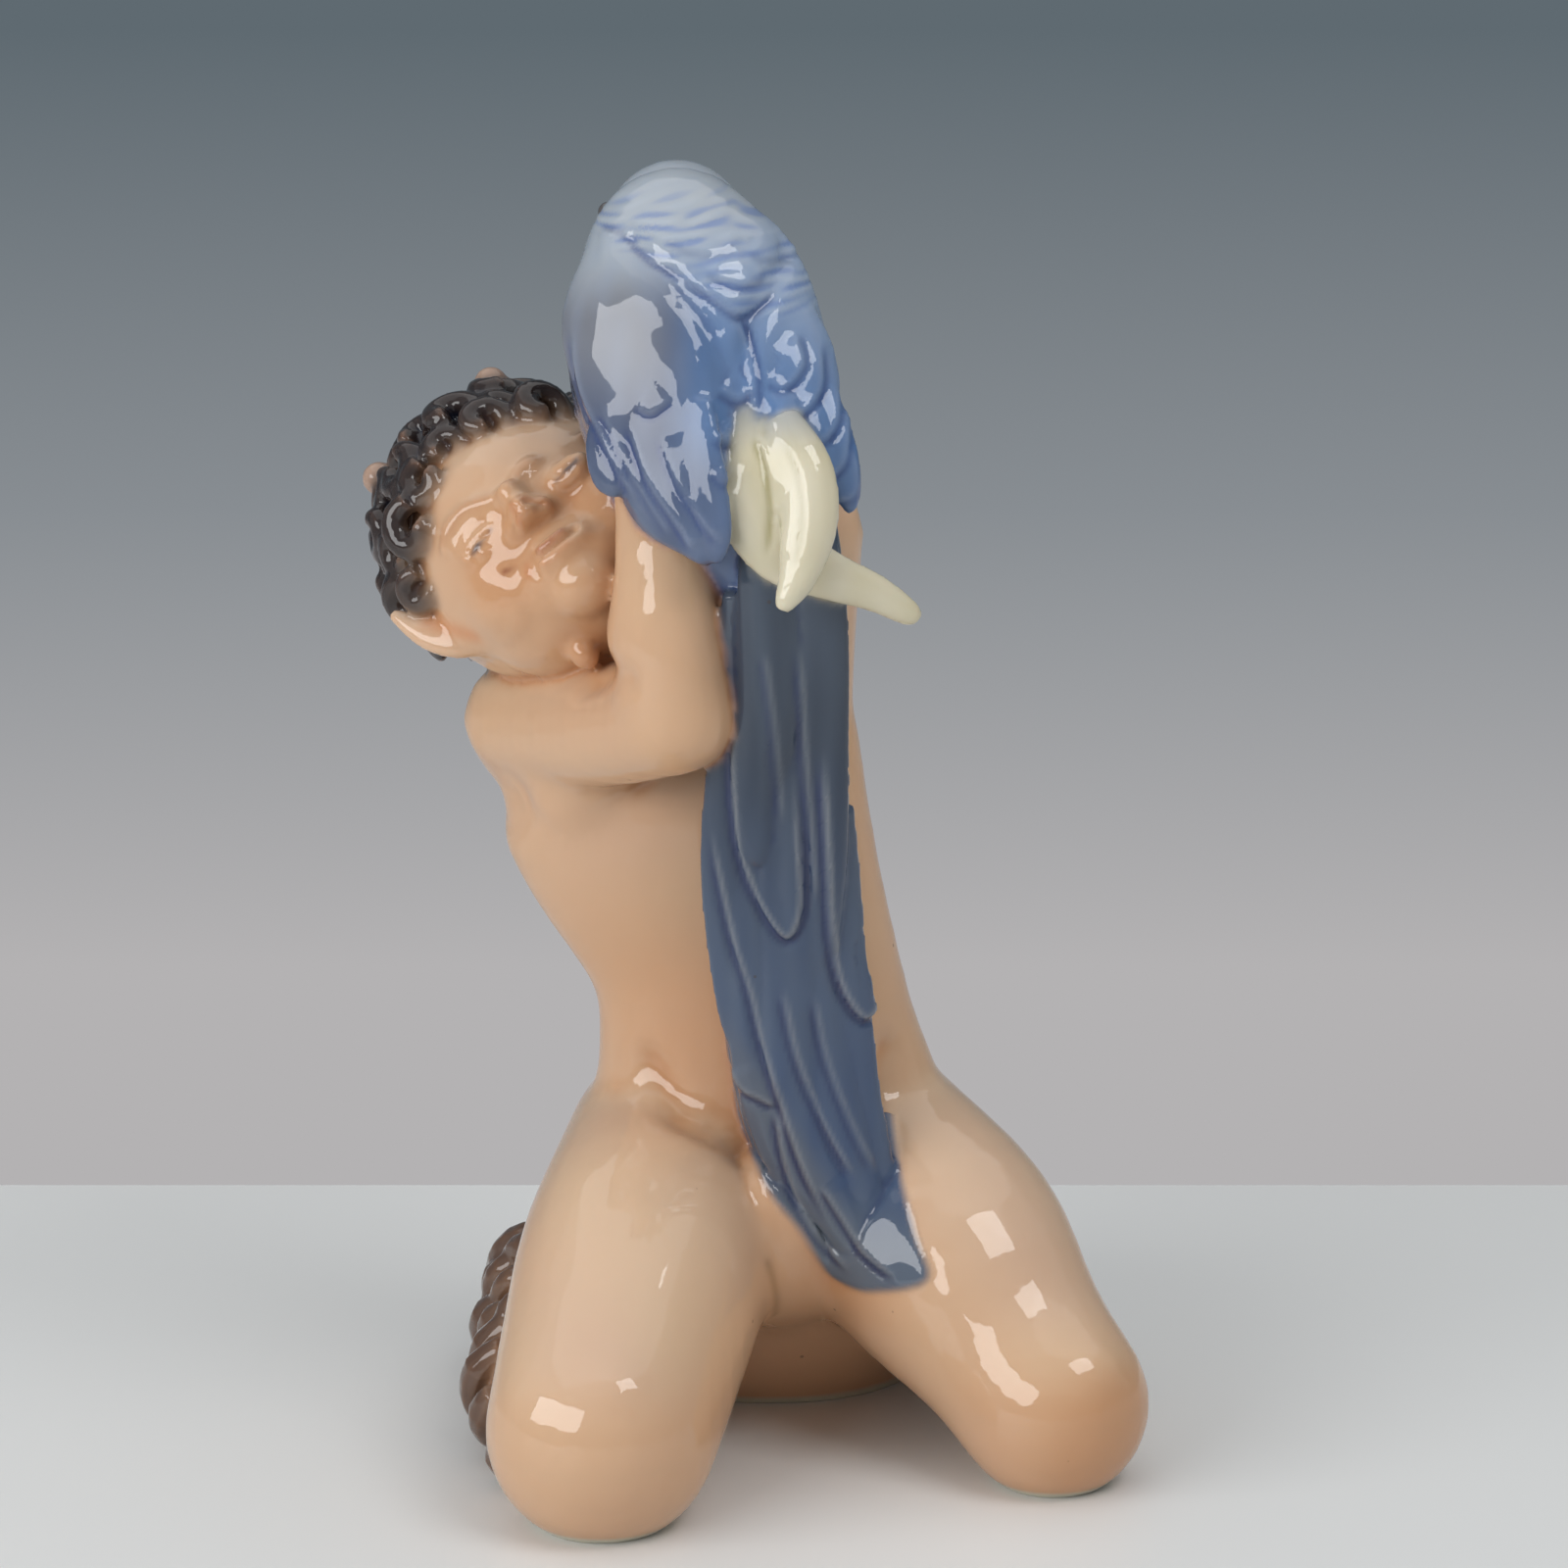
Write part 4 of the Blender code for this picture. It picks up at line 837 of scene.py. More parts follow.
def away_from(points, path):
    """How far each point lies from a smooth curve along a path."""
    line = smooth_line([np.array(p) for p in path], 4)
    nearest = np.full(len(points), 1e9)
    for start, end in zip(line, line[1:], strict=False):
        along = end - start
        t = np.clip((points - start) @ along / max(along @ along, 1e-12), 0, 1)
        nearest = np.minimum(nearest, np.linalg.norm(points - start - t[:, None] * along, axis=1))
    return nearest


def stroke(obj, path, radius, height):
    """Raises or lowers the skin along a path, like a modelling tool."""
    mesh = obj.data
    tree = BVHTree.FromObject(obj, bpy.context.evaluated_depsgraph_get())
    path = [tree.find_nearest(spot)[0] for spot in path]
    points = values_of(mesh.vertices, "co", 3)
    normals = values_of(mesh.vertex_normals, "vector", 3)
    points += normals * (height * np.exp(-((away_from(points, path) / radius) ** 2)))[:, None]
    mesh.vertices.foreach_set("co", points.ravel())
    mesh.update()


def carve_face(obj):
    """Eye slits, brows, laugh lines, nostrils and a broad laughing mouth."""
    eye = EYE_SPREAD / 2 / MM
    for sign in (-1, 1):
        for path, radius, height in (
            (((eye - 2.8, -19, 0.2), (eye, -19, 0.9), (eye + 2.6, -18, 0.2)), 0.65, -0.8),
            (((eye - 2.8, -19, 2.2), (eye, -19, 2.9), (eye + 3, -18, 1.8)), 0.7, -0.4),
            (((eye - 2.4, -19, -1.5), (eye, -19, -1.3), (eye + 2.8, -18, -1.8)), 0.7, -0.45),
            (((2.6, -20, 4), (eye - 2, -20, 5.4), (eye + 2, -19, 5.8), (eye + 5, -17, 4.2)), 1.2, 0.7),
            (((3.2, -20, -1), (5, -20, -4.4), (6.8, -19, -8.2), (6.2, -18, -10.2)), 0.9, -0.8),
            (((1.3, -22, -3), (1.9, -22, -3)), 0.6, -0.3),
        ):
            stroke(obj, [on_head(x * sign, y, z) for x, y, z in path], radius * MM, height * MM)
    for path, radius, height in (
        (((-6, -20, -6.8), (-3, -20, -8), (0, -20, -8.3), (3, -20, -8), (6, -20, -6.8)), 0.65, -0.9),
        (((-3.2, -20, -6.7), (0, -20, -7), (3.2, -20, -6.7)), 0.7, 0.35),
        (((-3, -20, -9.5), (0, -20, -9.8), (3, -20, -9.5)), 0.8, 0.4),
        (((-3.4, -20, -11.2), (0, -20, -11.6), (3.4, -20, -11.2)), 0.8, -0.4),
    ):
        stroke(obj, [on_head(*p) for p in path], radius * MM, height * MM)


def painted_forms():
    """The closed forms of the figurine, sorted by how they are painted."""
    forms = {name: bmesh.new() for name in REGIONS}
    skin = body()
    add_fur(forms["fur"], skin)
    add_object(forms["skin"], skin)
    web = [(at(2, -13, 35), 9 * MM), (at(3, -12, 27), 9 * MM), (at(4.5, 2, 19), 8 * MM)]
    limb(forms["skin"], web)
    smooth, crown = bird()
    add_object(forms["bird"], smooth)
    add_flight_feathers(forms["bird"])
    add_beak(forms["beak"], crown)
    add_crossing_feathers(forms["cream"])
    ball(forms["cream"], BIRD + at(7.4, -13.6, -6), [4.6 * MM, 3.4 * MM, 8.5 * MM])
    add_tail(forms["tail"])
    add_object(forms["skin"], head())
    add_ears(forms["skin"])
    add_horns(forms["horn"])
    add_hair(forms["hair"])
    add_hooves(forms["hoof"])
    add_right_hand(forms["skin"])
    add_left_hand(forms["skin"])
    return forms


def region_tree(forms):
    """A search tree over all forms, and the region number of each of its faces."""
    points, faces, owners = [], [], []
    for number, name in enumerate(REGIONS):
        form = forms[name]
        form.verts.ensure_lookup_table()
        form.verts.index_update()
        start = len(points)
        points.extend(vertex.co.copy() for vertex in form.verts)
        faces.extend([vertex.index + start for vertex in face.verts] for face in form.faces)
        owners.extend([number] * len(form.faces))
    return BVHTree.FromPolygons(points, faces), np.array(owners)


class Skin:
    """The cast surface as arrays: places in mm, normals, edges and the share of each region."""

    def __init__(self, obj, tree, owners):
        mesh = obj.data
        count = len(mesh.vertices)
        self.obj = obj
        self.edges = values_of(mesh.edges, "vertices", 2, np.int32)
        self.degree = np.maximum(np.bincount(self.edges.ravel(), minlength=count), 1)
        self.read()
        nearest = [tree.find_nearest(Vector(p) * MM)[2] for p in self.places]
        owner = owners[np.array(nearest)]
        sharp = np.array([owner == number for number in range(len(REGIONS))], dtype=float).T
        self.crisp = self.spread(sharp, 6)
        self.soft = self.spread(self.crisp, 40)
        self.groove = np.zeros(count)
        self.rim = np.zeros(count)

    def read(self):
        """Takes the places and normals from the mesh."""
        self.places = values_of(self.obj.data.vertices, "co", 3) / MM
        self.normals = values_of(self.obj.data.vertex_normals, "vector", 3)

    def move(self, amount):
        """Raises the surface by an amount in mm at each spot."""
        self.places += self.normals * amount[:, None]
        self.obj.data.vertices.foreach_set("co", (self.places * MM).ravel())
        self.obj.data.update()
        self.read()

    def spread(self, values, rounds):
        """Values blended with those of the neighbours, a number of times."""
        a, b = self.edges.T
        for _ in range(rounds):
            blended = np.empty_like(values)
            for column in range(values.shape[1]):
                v = values[:, column]
                total = np.bincount(a, v[b], len(v)) + np.bincount(b, v[a], len(v))
                blended[:, column] = 0.5 * v + 0.5 * total / self.degree
            values = blended
        return values

    def hollows(self, rounds):
        """How deep each spot lies below its surroundings, in mm. Ridges are negative."""
        return np.einsum("ij,ij->i", self.spread(self.places, rounds) - self.places, self.normals)

    def share(self, name, soft=False):
        """The share of a region at each spot."""
        return (self.soft if soft else self.crisp)[:, REGIONS.index(name)]


def linear(red, green, blue):
    """A colour given as on a screen, 0 to 255, in linear light."""
    screen = np.array([red, green, blue]) / 255
    return np.where(screen <= 0.04045, screen / 12.92, ((screen + 0.055) / 1.055) ** 2.4)


def step(values, start, end):
    """0 up to start, 1 from end, and a smooth rise between them."""
    t = np.clip((values - start) / (end - start), 0, 1)
    return t * t * (3 - 2 * t)


def mix(base, colour, amount):
    """Base colours with an amount of another colour laid over them."""
    amount = np.clip(amount, 0, 1)[:, None]
    return base * (1 - amount) + colour * amount


def even(skin, red, green, blue):
    """One colour all over."""
    return np.tile(linear(red, green, blue), (len(skin.places), 1))


def coats(colour, *layers):
    """A colour with layers of (screen colour, amount) painted over it."""
    for paint_colour, amount in layers:
        colour = mix(colour, linear(*paint_colour), amount)
    return colour


def glow(skin, spot, reach):
    """A soft round spot of a reach in mm."""
    return np.exp(-(((skin.places - np.array(spot) / MM) / reach) ** 2).sum(axis=1))


def touch(skin, path, reach):
    """A brush stroke along a path of places."""
    return np.exp(-((away_from(skin.places, [np.array(p) / MM for p in path]) / reach) ** 2))


def ripple(places, wave, seed=0.0):
    """Uneven shading between -1 and 1, of a wave length in mm."""
    x, y, z = (places / wave).T * math.tau
    total = np.sin(x + 1.3 * np.sin(0.7 * y + seed)) + np.sin(y + 1.7 * np.sin(0.6 * z + 2 * seed))
    return (total + np.sin(z + 1.1 * np.sin(0.8 * x + 3 * seed))) / 3


def skin_colour(skin, fine, wide):
    """Peach skin, deeper in the folds and blushed in places, paler where it faces up as painted light, a
    paler tan on the front of the hollow between the thighs as painted light, and a painted shadow line where
    the thighs meet.
    """
    places = skin.places
    blush_and_shading = 0.4 + 0.16 * ripple(places, 46)
    face = glow(skin, on_head(0, -17, -3), 9)
    blush_and_shading += (1 - 0.75 * face) * step(wide, 0.05, 0.9) + 0.2 * step(fine, 0.05, 0.4)
    for spot, reach, amount in (
        (WAIST + at(-5, -13, -4), 20, 0.45),
        (PELVIS + at(-2, -16, 8), 15, 0.35),
        (KNEE_RIGHT + at(4, -8, -8), 13, 0.4),
        (KNEE_LEFT + at(6, -6, -4), 14, 0.75),
        (PELVIS + at(2, -18, -18), 16, 0.35),
        (at(12, -20, 30), 9, 0.5),
        (ELBOW_RIGHT + at(2, 0, -6), 10, 0.3),
        (on_head(0, -12, -4), 17, 0.5),
        (on_head(8.8, -15, -4), 5, 0.5),
        (on_head(-8.8, -15, -4), 5, 0.5),
        (on_head(0, -20, -3), 3.4, 0.2),
        (on_head(-6.4, -3.4, -17), 4, 0.9),
    ):
        blush_and_shading += amount * glow(skin, spot, reach)
    # Painted light: where the skin faces up it gets less colour, so its tops are paler.
    blush_and_shading -= 0.45 * step(skin.normals[:, 2], 0.2, 0.9)
    # Painted light: the front of the hollow between the thighs, near the table, is painted a pale tan
    # instead of the deep fold colour, so it reads as lit.
    arch = step(-skin.normals[:, 1], 0.0, 0.3) * step(-np.abs(places[:, 0] - SEAT.x / MM), -24, -16)
    arch *= step(-places[:, 2], -19, -13) * step(places[:, 1], -28, -12)
    # Painted shadow: a brown line down the crease where the thighs meet.
    fold = snap(skin, (at(1.8, -24, 30), at(3, -22, 25), at(3.8, -20, 20)))
    return coats(
        even(skin, 214, 184, 153),
        ((198, 160, 142), 0.16 + 0.22 * ripple(places, 27, 2.0)),
        ((200, 153, 114), blush_and_shading),
        ((178, 118, 76), 0.6 * (blush_and_shading - 0.85)),
        ((214, 170, 134), 0.9 * arch),
        ((150, 116, 80), 0.5 * touch(skin, fold, 0.8)),
    )


def face_paint(skin, colour):
    """Brows, eyes, lips and the nose's shadow, laid over the skin."""
    eye = EYE_SPREAD / 2 / MM
    ear = EAR_LENGTH / MM
    pairs = (
        (((eye - 2.4, -19, 0.2), (eye, -19, 0.9), (eye + 2.2, -18, 0.2)), 0.4, (120, 88, 72), 0.7),
        (((eye - 1, -19, 0.5), (eye + 0.8, -19, 0.7)), 0.55, (92, 88, 92), 0.8),
        (((2.8, -20, 4.6), (eye - 1, -20, 6.2), (eye + 4, -17, 5.4)), 1.0, (182, 134, 98), 0.5),
        (((1.3, -22, -3), (1.9, -22, -3)), 0.45, (150, 100, 74), 0.35),
        (((3.2, -20, -1), (5, -20, -4.4), (6.8, -19, -8.2)), 0.8, (190, 122, 80), 0.5),
    )
    smile = ((-7.4, -19, -5.4), (-4, -20, -7.6), (0, -20, -8.3), (4, -20, -7.6), (7.4, -19, -5.4))
    singles = (
        (((-15.4, -6, -3.8), (-15.4 - 0.35 * ear, -6, -3.8 + 0.42 * ear)), 1.3, (196, 130, 84), 0.6),
        (smile, 0.5, (138, 76, 52), 0.75),
        (((-3.2, -20, -6.9), (0, -20, -7.2), (3.2, -20, -6.9)), 0.7, (204, 140, 104), 0.3),
        (((-3, -20, -9.3), (0, -20, -9.6), (3, -20, -9.3)), 0.8, (204, 140, 104), 0.3),
    )
    for sign, marks in ((-1, pairs), (1, pairs), (1, singles)):
        for path, reach, tone, amount in marks:
            line = snap(skin, [on_head(x * sign, y, z) for x, y, z in path])
            colour = mix(colour, linear(*tone), amount * touch(skin, line, reach))
    return colour


def snap(skin, line):
    """The places of the skin that are nearest to those of a line."""
    found = []
    for p in line:
        nearest = np.argmin(np.linalg.norm(skin.places - np.array(p) / MM, axis=1))
        found.append(Vector(skin.places[nearest]) * MM)
    return found


def hair_colour(skin, fine):
    """Dark brown, blue-black where glaze pools and paler on the ridges."""
    return coats(
        even(skin, 46, 37, 36),
        ((18, 26, 42), step(fine, 0.0, 0.3)),
        ((142, 108, 88), 0.85 * step(-fine, 0.1, 0.5)),
    )


def fur_colour(skin, fine):
    """Warm brown with amber ridges."""
    return coats(
        even(skin, 94, 71, 58),
        ((42, 33, 32), step(fine, 0.0, 0.6)),
        ((172, 124, 84), step(-fine, 0.04, 0.55) * (0.7 + 0.3 * ripple(skin.places, 17))),
    )


def hood_streaks(places):
    """Short bands across the parrot's hood, arched at the crown and hanging lower down, from -1 to 1."""
    x, _, z = (places - np.array(BIRD) / MM).T
    bend = 0.34 * np.abs(x - 2) * np.clip((z - 20) / 7, -1, 1) + 0.5 * ripple(places, 11)
    long = np.sin((z + bend) * math.tau / 2.7) * np.sin(x * math.tau / 17 + 0.9 * z)
    short = np.sin((z + 0.7 * bend) * math.tau / 1.9 + 2) * np.sin((x + 4) * math.tau / 12 - 0.7 * z)
    wings = np.where(x < 2.8, 16.6 - 0.5 * x, 15.9 - 0.25 * x)
    return 0.75 * (long + short) * step(z - wings, -2, 2)


def bird_colour(skin, fine):
    """A pale hood, blue wings that are greyer at the shoulder, and cobalt in the grooves."""
    x, y, z = (skin.places - np.array(BIRD) / MM).T
    hood = step(z + 0.5 * x, 10, 25)
    streak = hood_streaks(skin.places)
    shown = step(z, 9, 18) * step(-z, -32, -26)
    soft = 0.5 + 0.5 * ripple(skin.places * np.array([1, 1, 0.3]), 5, 3.0)
    return coats(
        even(skin, 88, 120, 164),
        ((74, 83, 108), 0.95 * step(-x, -1, 9)),
        ((118, 121, 129), 0.95 * step(-x, 2, 12) * step(z, -2, 12)),
        ((70, 88, 130), 0.6 * step(-z, 2, 14) * step(x, -14, 0)),
        ((76, 88, 114), 0.75 * step(-z, -3, 6) * step(-x, -4, 1)),
        ((150, 168, 194), hood),
        ((166, 174, 182), step(z - 0.3 * x, 18, 29)),
        ((44, 66, 122), 0.6 * step(fine, 0.02, 0.2) * (1 - 0.6 * hood)),
        ((92, 120, 178), 0.62 * step(streak, 0.0, 0.9) * shown),
        ((186, 196, 206), 0.3 * step(-streak, 0.1, 0.9) * shown),
        ((136, 152, 178), 0.22 * soft),
        ((40, 60, 116), 0.75 * skin.groove),
        ((150, 164, 188), 0.35 * skin.rim),
        ((160, 168, 178), 0.6 * step(y, 4, 14)),
    )


def tail_colour(skin, fine):
    """Slate at the root, bluer downward, greyer at its right edge, with cobalt grooves."""
    x, _, z = skin.places.T
    streak = 0.5 + 0.5 * ripple(skin.places * np.array([1, 0.6, 0.07]), 4.2)
    right_edge = step(3 + (54 - z) * 0.55 - x, -2, 2) * step(-z, -72, -52)
    return coats(
        even(skin, 46, 57, 73),
        ((61, 79, 110), step(-z, -112, -56)),
        ((92, 105, 122), 0.4 * streak),
        ((92, 98, 108), 0.75 * right_edge),
        ((96, 106, 118), 0.7 * step(-z, -42, -32)),
        ((30, 44, 84), 0.5 * step(fine, 0.02, 0.2)),
        ((28, 42, 84), 0.75 * skin.groove),
        ((140, 144, 148), 0.5 * skin.rim),
    )


def cream_colour(skin, fine):
    """Cream with greenish yellow in the grooves and towards the root."""
    return coats(
        even(skin, 214, 207, 184),
        ((184, 172, 122), 0.15 + 0.2 * ripple(skin.places * np.array([1, 1, 0.4]), 7)),
        ((112, 128, 150), 0.6 * step(skin.places[:, 2] - BIRD.z / MM, -3, 4)),
        ((150, 140, 92), 0.9 * skin.groove),
        ((160, 152, 104), step(fine, 0.0, 0.35)),
    )


def paint(skin):
    """The colour of each spot: every region's own, blended like sprayed paint, and the pale foot rim."""
    fine = skin.hollows(10)
    wide = skin.hollows(90)
    places = skin.places
    colours = {
        "skin": face_paint(skin, skin_colour(skin, fine, wide)),
        "fur": fur_colour(skin, fine),
        "bird": bird_colour(skin, fine),
        "beak": even(skin, 84, 80, 80),
        "cream": cream_colour(skin, fine),
        "tail": tail_colour(skin, fine),
        "horn": even(skin, 172, 144, 126),
        "hair": hair_colour(skin, fine),
        "hoof": even(skin, 66, 56, 54),
    }
    x, y, z = (np.array(HEAD_TURN.to_3x3().inverted()) @ (places - np.array(HEAD) / MM).T)
    scalp = step(0.47 * y + 0.88 * z + 0.036 * x * x, 0.5, 4)
    colours["hair"] = mix(colours["skin"], colours["hair"], scalp)
    tip = step(-places[:, 2], -46, -32)
    airbrush = np.maximum(skin.share("hair", soft=True) * 2, skin.share("fur", soft=True) * 2)
    airbrush = np.clip(np.maximum(airbrush, tip * skin.share("tail", soft=True) * 2), 0, 1)
    total = np.zeros((len(places), 3))
    weight = np.zeros(len(places))
    for name, colour in colours.items():
        share = skin.share(name) * (1 - airbrush) + skin.share(name, soft=True) * airbrush
        total += colour * share[:, None]
        weight += share
    total /= np.maximum(weight, 1e-6)[:, None]
    rim = step(-places[:, 2], -1.6, -0.5)
    return mix(total, linear(206, 208, 190), 0.8 * rim)


def beside(skin, base, path):
    """How far to the left of a path each spot lies as seen from the front, and how far along it."""
    start = np.array([base.x, base.z]) / MM
    line = smooth_line([start + np.array(p) for p in path], 4)
    spots = skin.places[:, [0, 2]]
    nearest = np.full(len(spots), 1e9)
    left = np.zeros(len(spots))
    share = np.zeros(len(spots))
    for k, (start, end) in enumerate(zip(line, line[1:], strict=False)):
        along = end - start
        t = np.clip((spots - start) @ along / max(along @ along, 1e-9), 0, 1)
        away = spots - start - t[:, None] * along
        distance = np.linalg.norm(away, axis=1)
        closer = distance < nearest
        nearest = np.where(closer, distance, nearest)
        left = np.where(closer, along[0] * away[:, 1] - along[1] * away[:, 0], left)
        share = np.where(closer, (k + t) / (len(line) - 1), share)
    return np.copysign(nearest, left), share


def lengthen_tail(skin):
    """The tip of the tail, as a low relief on the thigh."""
    left, share = beside(skin, PELVIS, TAIL_TIP)
    _, y, z = skin.places.T
    near = (left < 11) & (y < -10) & (z < 52) & (share > 0) & (share < 1)
    cover = step(left, -0.7, 0.7) * near
    tail = REGIONS.index("tail")
    skin.move(0.7 * cover * (1 - skin.share("tail")))
    for shares in (skin.crisp, skin.soft):
        shares *= 1 - cover[:, None]
        shares[:, tail] += cover


def soften(skin):
    """Smooths the creases where the cheek, the armpit and the thighs meet other forms."""
    amount = np.zeros(len(skin.places))
    for spot, reach in (
        (on_head(-13.5, -11, -5), 6.5),
        (on_head(-15, -7, -4), 5),
        (at(-33.5, -1.5, 90.5), 6),
        (BIRD + at(7.6, -17.5, -6), 4.5),
        (at(-1, -22, 28), 9),
        (at(8, -18, 26), 8),
        (at(4, -14, 19), 10),
        (at(4, -8, 14), 9),
    ):
        amount = np.maximum(amount, np.minimum(1, 1.6 * glow(skin, spot, reach)))
    smooth = skin.spread(skin.places, 160)
    skin.places += (smooth - skin.places) * amount[:, None]
    skin.move(np.zeros(len(amount)))


def lay_feathers(skin):
    """Steps the surface at each feather's edge, with a groove below it and a pale rim on it."""
    relief = np.zeros(len(skin.places))
    front = step(-skin.normals[:, 1], -0.3, 0.1)
    edges = [(region, base, *edge) for region, base, group in EDGES for edge in group]
    for region, base, height, *path in edges:
        left, share = beside(skin, base, path)
        fade = front * skin.share(region) * step(share, 0, 0.14) * step(-share, -1, -0.86)
        ledge = step(left, -0.4, 0.4) * np.exp(-np.maximum(left, 0) / 3.2)
        ditch = np.exp(-(((left + 0.75) / 0.5) ** 2))
        relief += height * fade * (ledge - 0.4 * ditch)
        strength = fade * min(1, height / 0.7)
        skin.groove = np.maximum(skin.groove, strength * np.exp(-(((left + 0.5) / 0.5) ** 2)))
        skin.rim = np.maximum(skin.rim, strength * np.exp(-(((left - 0.4) / 0.38) ** 2)))
    z = skin.places[:, 2] - BIRD.z / MM
    hood = skin.share("bird") * step(z, 10, 18) * step(-z, -31, -27)
    skin.move(relief - 0.07 * hood * hood_streaks(skin.places))


def shader_node(material, kind, links=(), **values):
    """A new shader node. Links go from other nodes' outputs, and values are set, to the inputs named."""
    node = material.node_tree.nodes.new(kind)
    for name, value in values.items():
        node.inputs[name.replace("_", " ")].default_value = value
    for output, name in links:
        material.node_tree.links.new(output, node.inputs[name])
    return node


def porcelain():
    """Painted porcelain below a clear glaze, with a few dark specks and a faintly uneven surface."""
    material = bpy.data.materials.new("glazed_porcelain_painted")
    material.use_nodes = True
    shader = material.node_tree.nodes["Principled BSDF"]
    for name, value in (
        ("Roughness", 0.04),
        ("IOR", 1.52),
        ("Subsurface Weight", 0.12),
        ("Subsurface Scale", 0.0015),
        ("Subsurface Radius", (1.0, 0.6, 0.4)),
    ):
        shader.inputs[name].default_value = value
    colour = shader_node(material, "ShaderNodeVertexColor")
    colour.layer_name = "paint"
    place = shader_node(material, "ShaderNodeTexCoord").outputs["Object"]
    specks = shader_node(material, "ShaderNodeTexVoronoi", [(place, "Vector")], Scale=95)
    size = shader_node(
        material,
        "ShaderNodeMapRange",
        [(specks.outputs["Distance"], "Value")],
        From_Min=0.022,
        From_Max=0.03,
        To_Min=0.5,
        To_Max=0.0,
    )
    speckled = shader_node(material, "ShaderNodeMix")
    speckled.data_type = "RGBA"
    speckled.inputs["B"].default_value = (0.06, 0.04, 0.03, 1)
    orange_peel = shader_node(material, "ShaderNodeTexNoise", [(place, "Vector")], Scale=260, Detail=1)
    bump = shader_node(
        material, "ShaderNodeBump", [(orange_peel.outputs["Fac"], "Height")], Strength=0.25, Distance=0.00012
    )
    for output, entry in (
        (size.outputs["Result"], speckled.inputs["Factor"]),
        (colour.outputs["Color"], speckled.inputs["A"]),
        (speckled.outputs["Result"], shader.inputs["Base Color"]),
        (bump.outputs["Normal"], shader.inputs["Normal"]),
    ):
        material.node_tree.links.new(output, entry)
    return material


def piece(name, skin, colours, wanted, material):
    """One piece of the surface, from the faces that are wanted, with the whole surface's normals."""
    mesh = skin.obj.data
    corners = values_of(mesh.loops, "vertex_index", kind=np.int32)
    starts = values_of(mesh.polygons, "loop_start", kind=np.int32)[wanted]
    counts = values_of(mesh.polygons, "loop_total", kind=np.int32)[wanted]
    picks = np.repeat(starts - np.concatenate([[0], np.cumsum(counts)[:-1]]), counts)
    used, corners = np.unique(corners[picks + np.arange(counts.sum())], return_inverse=True)
    part = bpy.data.meshes.new(name)
    part.vertices.add(len(used))
    part.vertices.foreach_set("co", (skin.places[used] * MM).ravel())
    part.loops.add(len(corners))
    part.loops.foreach_set("vertex_index", corners.astype(np.int32))
    part.polygons.add(len(counts))
    part.polygons.foreach_set("loop_start", np.concatenate([[0], np.cumsum(counts)[:-1]]).astype(np.int32))
    part.update(calc_edges=True)
    part.validate()
    layer = part.color_attributes.new("paint", "FLOAT_COLOR", "POINT")
    layer.data.foreach_set("color", np.column_stack([colours[used], np.ones(len(used))]).ravel())
    part.shade_smooth()
    part.normals_split_custom_set_from_vertices(skin.normals[used])
    part.materials.append(material)
    return placed(name, part)


def level_foot(obj):
    """Cuts the surface off at the table and closes it there."""
    form = bmesh.new()
    form.from_mesh(obj.data)
    low = [v for v in form.verts if v.co.z < 1.5 * MM]
    faces = {f for v in low for f in v.link_faces}
    edges = {e for f in faces for e in f.edges}
    bmesh.ops.bisect_plane(
        form,
        geom=[*low, *edges, *faces],
        dist=1e-7,
        plane_co=(0, 0, 0),
        plane_no=Z_AXIS,
        clear_inner=True,
    )
    rest = [v for v in form.verts if v.co.z < -1e-6]
    bmesh.ops.delete(form, geom=rest, context="VERTS")
    bmesh.ops.holes_fill(form, edges=[e for e in form.edges if e.is_boundary])
    bmesh.ops.triangulate(form, faces=[f for f in form.faces if len(f.verts) > 4])
    form.normal_update()
    form.to_mesh(obj.data)
    form.free()


def figurine():
    """The cast and painted figurine, in pieces."""
    forms = painted_forms()
    tree, owners = region_tree(forms)
    whole = bmesh.new()
    for form in forms.values():
        mesh = bpy.data.meshes.new("form")
        form.to_mesh(mesh)
        form.free()
        whole.from_mesh(mesh)
    obj = fuse("cast", whole, SKIN_VOXEL, rounds=3)
    level_foot(obj)
    skin = Skin(obj, tree, owners)
    soften(skin)
    carve_face(obj)
    skin.read()
    lengthen_tail(skin)
    lay_feathers(skin)
    colours = paint(skin)
    skin.places += np.array(CENTRING) / MM
    mesh = obj.data
    material = porcelain()
    first = values_of(mesh.polygons, "loop_start", kind=np.int32)
    spot = values_of(mesh.loops, "vertex_index", kind=np.int32)[first]
    region = np.argmax(skin.crisp, axis=1)[spot]
    height = skin.places[spot, 2]
    for name, regions, low, high in PIECES:
        wanted = np.isin(region, [REGIONS.index(r) for r in regions]) & (height >= low) & (height < high)
        obj = piece(name, skin, colours, wanted, material)
        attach(obj, "root")
        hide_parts("faun_figurine")
    bpy.data.objects.remove(skin.obj)


def plain(name, colour, roughness):
    """A plain matt material."""
    material = bpy.data.materials.new(name)
    material.use_nodes = True
    shader = material.node_tree.nodes["Principled BSDF"]
    shader.inputs["Base Color"].default_value = (*colour, 1)
    shader.inputs["Roughness"].default_value = roughness
    return material


